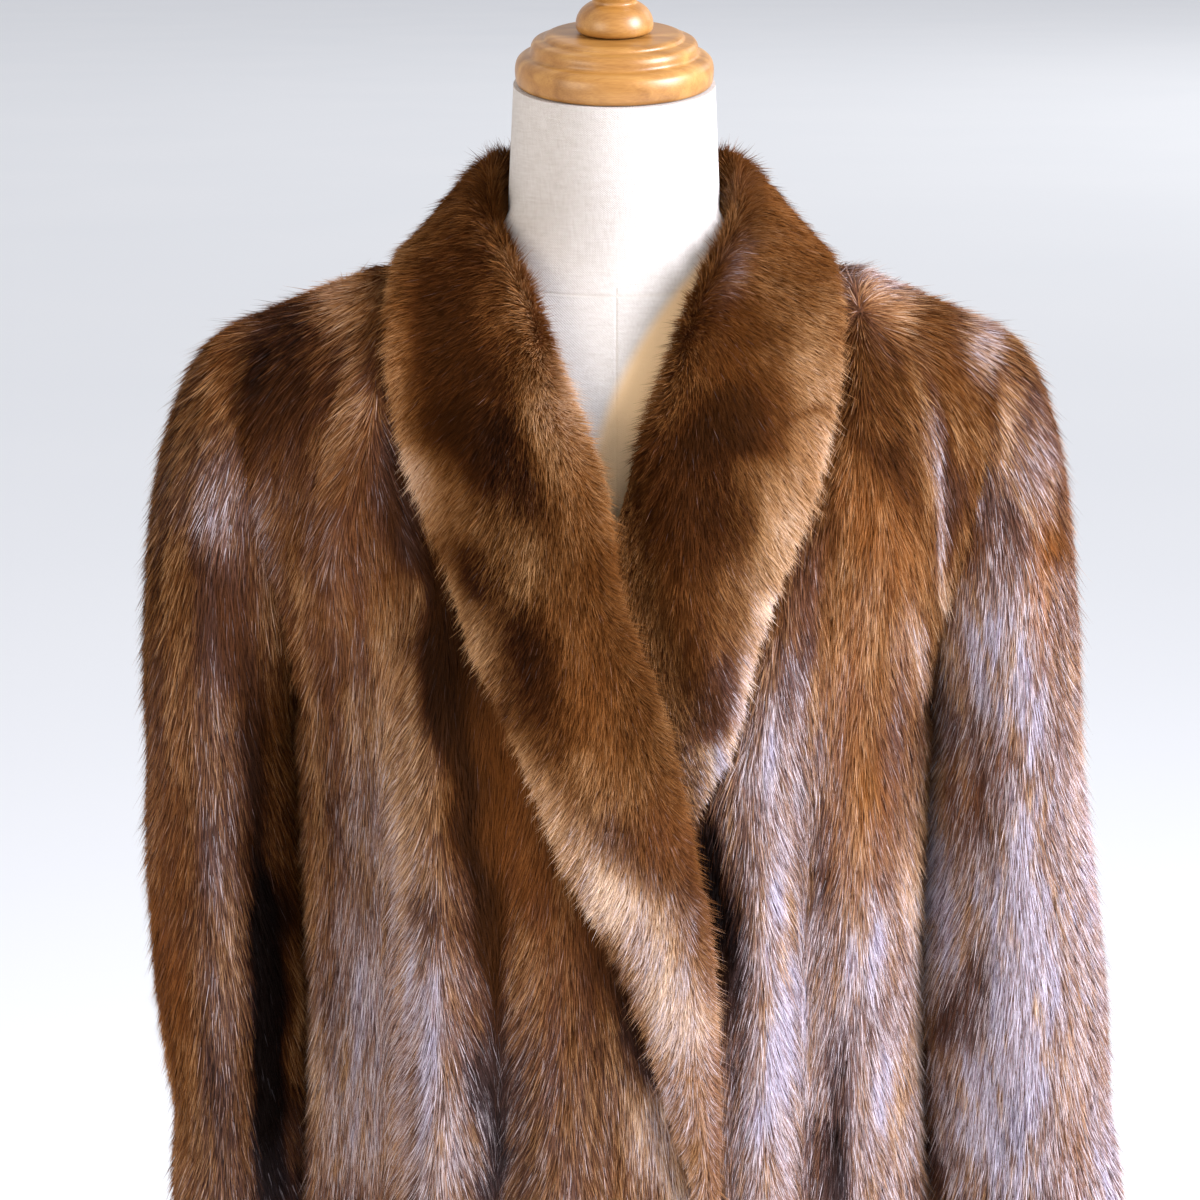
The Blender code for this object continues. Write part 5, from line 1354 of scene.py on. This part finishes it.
def dressFormObject():
    slope = math.atan((coat["neckZ"] - coat["shoulderZ"]) / (coat["shoulderX"] - coat["neckX"]))
    under = coat["pelt"] / math.cos(slope) + formFine["clearance"]
    rings = [levelRing(z, form["side"][k], form["front"][k], form["back"][k], power=form["power"][k])
             for k, z in enumerate(form["z"])]
    rings += [levelRing(z, coat["shoulderX"] - (z + under - coat["shoulderZ"]) / math.tan(slope),
                        formShoulder["front"][k], formShoulder["back"][k], power=formShoulder["power"][k])
              for k, z in enumerate(formShoulder["z"])]
    for k, z in enumerate(formNeck["z"]):
        radius = formNeck["side"][k]
        rings.append(levelRing(z, radius, radius, radius, y=neckMiddle(z), power=2.0,
                               lean=formNeck["capLean"] * k / (len(formNeck["z"]) - 1)))
    knots = np.array(rings)
    step = np.linalg.norm(np.diff(knots, axis=0), axis=-1).mean(axis=1)
    reach = np.concatenate([[0.0], np.cumsum(step)])
    fine = []
    for k in range(len(knots) - 1):
        parts = max(int(step[k] / formFine["step"]), 1)
        low, high = max(k - 1, 0), min(k + 2, len(knots) - 1)
        startSlope = (knots[k + 1] - knots[low]) / (reach[k + 1] - reach[low])
        endSlope = (knots[high] - knots[k]) / (reach[high] - reach[k])
        fine += [curved(knots[k], startSlope * step[k], knots[k + 1], endSlope * step[k], j / parts)
                 for j in range(parts)]
    fine.append(knots[-1])
    fine = np.array(fine)
    for _ in range(formFine["hollow"]):    # a soft hollow where the neck grows out of the chest
        z = fine[1:-1, :, 2:]
        atFoot = np.clip(1.0 - np.abs(z - formNeck["footZ"]) / formNeck["footReach"], 0.0, 1.0)
        ahead = -fine[1:-1, :, 1:2] - formFine["hollowFrom"]
        weight = atFoot * np.clip(ahead / formFine["hollowOver"], 0.0, 1.0)
        fine[1:-1] += (fine[:-2] + fine[2:] - 2.0 * fine[1:-1]) * 0.25 * weight
    count = formFine["points"]
    points = fine.reshape(-1, 3)
    faces = gridFaces(len(fine), count, True)
    bottom, top = len(points), len(points) + 1
    points = np.concatenate([points, [fine[0].mean(axis=0)], [fine[-1].mean(axis=0)]])
    faces += [(c, bottom, (c + 1) % count) for c in range(count)]
    start = (len(fine) - 1) * count
    faces += [(start + c, start + (c + 1) % count, top) for c in range(count)]
    mesh = bpy.data.meshes.new("dressForm")
    mesh.from_pydata(points.tolist(), [], faces)
    mesh.shade_smooth()
    mesh.set_sharp_from_angle(angle=math.radians(50.0))
    return addObject("dressForm", mesh)


linen = {
    "thread": 0.0011, "wobble": 0.0012, "girth": 0.055, "seamWidth": 0.0011, "seamX": 0.0008,
    "seamTop": 1.352, "neckSeamZ": 1.3585, "neckSeamLean": 0.16,
    "cloth": ((0.25, "#b0a9a3"), (0.5, "#beb8b3"), (0.75, "#c8c4c0")), "seam": "#b3a58e", "paintedWarmShade": "#ebc592",
    "paintedShadeFrom": (-0.0065, 1.2863), "paintedShadeSlope": 0.331, "paintedShadeBend": 4.28, "paintedShadeSoft": (-0.004, 0.005),
    "paintedShadeTop": 1.385, "paintedShadeShare": 0.85,
}


# Undyed linen canvas in a plain weave. Its threads are about 0.5 mm and too fine to show, so they are
# drawn at 1.1 mm, with uneven slubs, and flat seams at the centre front and round the neck's foot.
def linenMaterial():
    material, tree, shader = newMaterial("undyedLinen")
    place = addNode(tree, "ShaderNodeTexCoord", output="Object")
    x, y, z = addNode(tree, "ShaderNodeSeparateXYZ", (place,), None)
    bend = addNode(tree, "ShaderNodeTexNoise", {"Vector": place, "Scale": 45.0, "Detail": 2.0})
    bend = addNode(tree, "ShaderNodeMath", (bend, 0.5), operation="SUBTRACT")
    wobble = addNode(tree, "ShaderNodeMath", (bend, linen["wobble"]), operation="MULTIPLY")
    behind = addNode(tree, "ShaderNodeMath", (y, -1.0), operation="MULTIPLY")
    turn = addNode(tree, "ShaderNodeMath", (x, behind), operation="ARCTAN2")
    around = addNode(tree, "ShaderNodeMath", (turn, linen["girth"], wobble), operation="MULTIPLY_ADD")
    upward = addNode(tree, "ShaderNodeMath", (z, wobble), operation="ADD")
    threads = []
    for way in (around, upward):
        phase = addNode(tree, "ShaderNodeMath", (way, math.tau / linen["thread"]), operation="MULTIPLY")
        threads.append(addNode(tree, "ShaderNodeMath", (phase,), operation="SINE"))
    weave = addNode(tree, "ShaderNodeMath", threads, operation="MULTIPLY")
    slubs = []
    for stretch in ((130.0, 130.0, 1100.0), (1100.0, 1100.0, 130.0)):
        drawn = addNode(tree, "ShaderNodeMapping", {"Vector": place, "Scale": stretch})
        slubs.append(addNode(tree, "ShaderNodeTexNoise", {"Vector": drawn, "Scale": 1.0}))
    slubs = addNode(tree, "ShaderNodeMath", slubs, operation="ADD")

    # Each seam is a line, deepest in its middle.
    footZ = addNode(tree, "ShaderNodeMath", (y, linen["neckSeamLean"], linen["neckSeamZ"]),
                    operation="MULTIPLY_ADD")
    lines = []
    for along, middle in ((x, linen["seamX"]), (z, footZ)):
        away = addNode(tree, "ShaderNodeMath", (along, middle), operation="SUBTRACT")
        away = addNode(tree, "ShaderNodeMath", (away,), operation="ABSOLUTE")
        lines.append(addNode(tree, "ShaderNodeMapRange", {
            "Value": away, "From Max": linen["seamWidth"], "To Min": 1.0, "To Max": 0.0}))
    centre, foot = lines
    for value, limit in ((y, 0.0), (z, linen["seamTop"])):
        within = addNode(tree, "ShaderNodeMath", (value, limit), operation="LESS_THAN")
        centre = addNode(tree, "ShaderNodeMath", (centre, within), operation="MULTIPLY")
    seam = addNode(tree, "ShaderNodeMath", (centre, foot), operation="MAXIMUM")

    height = addNode(tree, "ShaderNodeMath", (weave, 0.25), operation="MULTIPLY")
    for part, amount in ((slubs, 0.6), (seam, -1.2)):
        height = addNode(tree, "ShaderNodeMath", (part, amount, height), operation="MULTIPLY_ADD")
    tone = addNode(tree, "ShaderNodeMath", (slubs, 0.5), operation="MULTIPLY")
    tone = addNode(tree, "ShaderNodeMath", (weave, 0.06, tone), operation="MULTIPLY_ADD")
    colour = addNode(tree, "ShaderNodeValToRGB", (tone,), stops=linen["cloth"])
    seamShare = addNode(tree, "ShaderNodeMath", (seam, 0.15), operation="MULTIPLY")

    # Painted warm shade on the cloth beside the left collar, as shadow with bounce light from the fur, up a
    # bent line.
    edgeX, edgeZ = linen["paintedShadeFrom"]
    above = addNode(tree, "ShaderNodeMath", (z, edgeZ), operation="SUBTRACT")
    slope = addNode(tree, "ShaderNodeMath", (above, linen["paintedShadeBend"], linen["paintedShadeSlope"]),
                    operation="MULTIPLY_ADD")
    edge = addNode(tree, "ShaderNodeMath", (above, slope, edgeX), operation="MULTIPLY_ADD")
    beside = addNode(tree, "ShaderNodeMath", (x, edge), operation="SUBTRACT")
    low, high = linen["paintedShadeSoft"]
    paintedWarmShade = addNode(tree, "ShaderNodeMapRange", {
        "Value": beside, "From Min": low, "From Max": high, "To Max": linen["paintedShadeShare"]},
        interpolation_type="SMOOTHSTEP")
    under = addNode(tree, "ShaderNodeMath", (z, linen["paintedShadeTop"]), operation="LESS_THAN")
    paintedWarmShade = addNode(tree, "ShaderNodeMath", (paintedWarmShade, under), operation="MULTIPLY")
    for share, tint in ((seamShare, "seam"), (paintedWarmShade, "paintedWarmShade")):
        colour = addNode(tree, "ShaderNodeMix", {0: share, 6: colour, 7: linear(linen[tint])}, 2,
                         data_type="RGBA")
    bump = addNode(tree, "ShaderNodeBump", {"Strength": 0.5, "Distance": 0.0006, "Height": height})
    fillInputs(tree, shader, {"Base Color": colour, "Normal": bump, "Roughness": 0.9,
                              "Sheen Weight": 0.10, "Sheen Roughness": 0.5})
    return material


wood = {
    "stain": ((0.34, "#875920"), (0.5, "#a07034"), (0.66, "#b48646")),
    "plank": 0.5, "grain": (14.0, 110.0, 90.0), "pores": (180.0, 1600.0, 1600.0),
}


# Turned beech, honey-stained and lacquered: grain in bands of about 10 mm along the plank, with short
# flecks. A fleck of beech is 0.1 mm wide and drawn at 0.6 mm, as coarse as it needs to show.
def woodMaterial():
    material, tree, shader = newMaterial("lacqueredBeech")
    place = addNode(tree, "ShaderNodeTexCoord", output="Object")
    turn = (0.0, 0.0, wood["plank"])
    plank = addNode(tree, "ShaderNodeMapping", {"Vector": place, "Rotation": turn, "Scale": wood["grain"]})
    pores = addNode(tree, "ShaderNodeMapping", {"Vector": place, "Rotation": turn, "Scale": wood["pores"]})
    rings = addNode(tree, "ShaderNodeTexNoise",
                    {"Vector": plank, "Scale": 1.0, "Detail": 4.0, "Distortion": 0.4})
    fleck = addNode(tree, "ShaderNodeTexNoise", {"Vector": pores, "Scale": 1.0, "Detail": 2.0})
    shade = addNode(tree, "ShaderNodeMath", (rings, 0.75), operation="MULTIPLY")
    shade = addNode(tree, "ShaderNodeMath", (fleck, 0.25, shade), operation="MULTIPLY_ADD")
    colour = addNode(tree, "ShaderNodeValToRGB", (shade,), stops=wood["stain"])
    bump = addNode(tree, "ShaderNodeBump", {"Strength": 0.12, "Distance": 0.0003, "Height": fleck})
    fillInputs(tree, shader, {"Base Color": colour, "Normal": bump, "Roughness": 0.40,
                              "Coat Weight": 0.24, "Coat Roughness": 0.28})
    return material


# Brushed steel tube: fine turning lines round the pole, 0.4 mm apart so that they show.
def steelMaterial():
    material, tree, shader = newMaterial("brushedSteel")
    place = addNode(tree, "ShaderNodeTexCoord", output="Object")
    lines = addNode(tree, "ShaderNodeMapping", {"Vector": place, "Scale": (40.0, 40.0, 2600.0)})
    brush = addNode(tree, "ShaderNodeTexNoise", {"Vector": lines, "Scale": 1.0, "Detail": 2.0})
    colour = addNode(tree, "ShaderNodeValToRGB", (brush,), stops=((0.3, "#a9abad"), (0.7, "#d5d6d7")))
    rough = addNode(tree, "ShaderNodeMath", (brush, 0.15, 0.22), operation="MULTIPLY_ADD")
    fillInputs(tree, shader, {"Base Color": colour, "Roughness": rough, "Metallic": 1.0})
    return material


# Powder-coated steel plate, cream, with an orange peel of 1.4 mm and slightly rubbed patches.
def paintMaterial():
    material, tree, shader = newMaterial("creamPowderCoat")
    place = addNode(tree, "ShaderNodeTexCoord", output="Object")
    peel = addNode(tree, "ShaderNodeTexNoise", {"Vector": place, "Scale": 700.0, "Detail": 1.0})
    worn = addNode(tree, "ShaderNodeTexNoise", {"Vector": place, "Scale": 12.0, "Detail": 5.0})
    colour = addNode(tree, "ShaderNodeValToRGB", (worn,), stops=((0.3, "#bab3a5"), (0.7, "#cdc6b8")))
    rough = addNode(tree, "ShaderNodeMath", (worn, 0.25, 0.3), operation="MULTIPLY_ADD")
    bump = addNode(tree, "ShaderNodeBump", {"Strength": 0.2, "Distance": 0.0003, "Height": peel})
    fillInputs(tree, shader, {"Base Color": colour, "Normal": bump, "Roughness": rough})
    return material


def turnedPiece(name, profile, steps, height):    # a height stands it on the neck's leaning axis
    mesh = bpy.data.meshes.new(name)
    points = [(radius, 0.0, level) for radius, level in reversed(profile)]
    mesh.from_pydata(points, [(k, k + 1) for k in range(len(points) - 1)], [])
    turning = addObject(name + "Turning", mesh)
    screw = turning.modifiers.new("turn", "SCREW")
    screw.axis = "Z"
    screw.steps = steps
    screw.render_steps = steps
    screw.use_merge_vertices = True
    screw.merge_threshold = 0.00001
    screw.use_smooth_shade = True
    depsgraph = bpy.context.evaluated_depsgraph_get()
    solid = bpy.data.meshes.new_from_object(turning.evaluated_get(depsgraph), depsgraph=depsgraph)
    bpy.data.objects.remove(turning, do_unlink=True)
    if height is not None:
        topZ = formNeck["z"][-1]
        c, s = math.cos(formNeck["capLean"]), math.sin(formNeck["capLean"])
        base = Vector((0.0, neckMiddle(topZ), topZ)) + Vector((0.0, -s, c)) * height
        for vertex in solid.vertices:
            px, py, pz = vertex.co
            vertex.co = (px, base.y + py * c - pz * s, base.z + py * s + pz * c)
    turnedOutwards(solid, 40.0)
    return addObject(name, solid)


def rounded(profile, radius, parts):    # softens the corners of a turned profile
    soft = [profile[0]]
    for k in range(1, len(profile) - 1):
        here = np.array(profile[k])
        before, after = np.array(profile[k - 1]) - here, np.array(profile[k + 1]) - here
        cut = min(radius, np.linalg.norm(before) * 0.45, np.linalg.norm(after) * 0.45)
        first = here + before / np.linalg.norm(before) * cut
        last = here + after / np.linalg.norm(after) * cut
        for j in range(parts + 1):
            t = j / parts
            soft.append(tuple(first * (1 - t) ** 2 + here * 2 * t * (1 - t) + last * t * t))
    return soft + [profile[-1]]


capProfile = (
    (0.0000, 0.0000), (0.0506, 0.0000), (0.0516, 0.0025), (0.0520, 0.0080), (0.0510, 0.0125),
    (0.0480, 0.0150), (0.0436, 0.0158), (0.0436, 0.0200), (0.0420, 0.0226), (0.0366, 0.0236),
    (0.0360, 0.0252), (0.0335, 0.0262), (0.0000, 0.0264),
)
finialProfile = (
    (0.0000, 0.0000), (0.0170, 0.0000), (0.0196, 0.0012), (0.0203, 0.0042), (0.0197, 0.0080),
    (0.0176, 0.0118), (0.0144, 0.0144), (0.0116, 0.0158), (0.0114, 0.0172), (0.0132, 0.0200),
    (0.0160, 0.0250), (0.0166, 0.0312), (0.0144, 0.0372), (0.0090, 0.0412), (0.0000, 0.0424),
)
poleProfile = (
    (0.0, 0.0203), (0.0125, 0.0203), (0.0125, 0.6937), (0.040, 0.6937), (0.040, 0.6997), (0.0, 0.6997),
)
baseProfile = (
    (0.0, 0.0), (0.179, 0.0), (0.180, 0.001), (0.180, 0.017), (0.177, 0.020), (0.060, 0.020), (0.0, 0.020),
)
# Turned pieces: profile, corner radius and parts, steps round, height above the neck, node, slot.
capTop = capProfile[-1][1]
turnings = (
    ("neckCap", capProfile, 0.0022, 4, 96, coat["seamGap"], "neck_cap", "turned_wood"),
    ("finial", finialProfile, 0.0020, 4, 64, capTop + 2 * coat["seamGap"], "finial", "turned_wood"),
    ("standPole", poleProfile, 0.0012, 3, 48, None, "stand_pole", "pole_steel"),
    ("standBase", baseProfile, 0.0012, 3, 128, None, "stand_base", "base_paint"),
)
finishes = {"form_linen": linenMaterial(), "turned_wood": woodMaterial(), "pole_steel": steelMaterial(),
            "base_paint": paintMaterial()}
pieces = [(dressFormObject(), "dress_form", "form_linen")]
for name, profile, radius, parts, steps, height, node, slot in turnings:
    pieces.append((turnedPiece(name, rounded(profile, radius, parts), steps, height), node, slot))
for piece, node, slot in pieces:
    piece.data.materials.clear()
    piece.data.materials.append(finishes[slot])
    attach(piece, "root")
    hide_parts(node)
print("form and stand made")
shown = [o for o in bpy.context.scene.objects if o.type == "MESH" and o.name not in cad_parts]
print("triangles added:", sum(len(p.vertices) - 2 for o in shown for p in o.data.polygons))

# Floor, lights and camera.
stage = {"floor": 80.0, "floorTints": ("#edeff2", "#f2f3f5"), "world": "#eaebf0", "worldStrength": 0.84}
floorMesh = bpy.data.meshes.new("studioFloor")
reach = stage["floor"]
floorMesh.from_pydata([(-reach, -reach, 0), (reach, -reach, 0), (reach, reach, 0), (-reach, reach, 0)], [],
                      [(0, 1, 2, 3)])
floor = addObject("studioFloor", floorMesh)
floorMaterial, floorTree, floorShader = newMaterial("paleFloor")
floorPlace = addNode(floorTree, "ShaderNodeTexCoord", output="Object")
floorNoise = addNode(floorTree, "ShaderNodeTexNoise", {"Vector": floorPlace, "Scale": 0.6, "Detail": 2.0})
darker, lighter = [linear(tint) for tint in stage["floorTints"]]
floorTint = addNode(floorTree, "ShaderNodeMix", {0: floorNoise, 6: darker, 7: lighter}, 2, data_type="RGBA")
fillInputs(floorTree, floorShader, {"Base Color": floorTint, "Roughness": 0.95})
floor.data.materials.append(floorMaterial)

world = bpy.data.worlds.new("softRoom")
world.use_nodes = True
bpy.context.scene.world = world
sky = world.node_tree.nodes["Background"]
sky.inputs["Color"].default_value = linear(stage["world"])
sky.inputs["Strength"].default_value = stage["worldStrength"]


def areaLight(name, place, target, size, power, colour):
    lamp = bpy.data.lights.new(name, "AREA")
    lamp.shape = "RECTANGLE"
    lamp.size, lamp.size_y = size
    lamp.energy = power
    lamp.color = linear(colour)[:3]
    holder = addObject(name, lamp)
    holder.location = place
    holder.rotation_euler = (Vector(target) - Vector(place)).to_track_quat("-Z", "Y").to_euler()


areaLight("windowLight", (2.6, -1.3, 2.4), (0.0, 0.0, 1.15), (1.4, 1.8), 265.0, "#f4f5ff")
areaLight("warmFill", (-2.2, -2.4, 1.8), (0.0, 0.0, 1.1), (1.8, 1.8), 56.0, "#fff0dc")
areaLight("wallWash", (16.0, 16.0, 10.0), (5.0, 22.0, 0.0), (14.0, 10.0), 1500.0, "#ffffff")

bpy.context.scene.view_settings.view_transform = "Standard"
camera = bpy.data.cameras.new("camera")
camera.lens = view["lens"]
camera.sensor_width = view["sensor"]
cameraHolder = addObject("camera", camera)
cameraHolder.location = view["eye"]
cameraHolder.rotation_euler = (math.radians(90.0 - view["lookDown"]), 0.0, 0.0)
bpy.context.scene.camera = cameraHolder
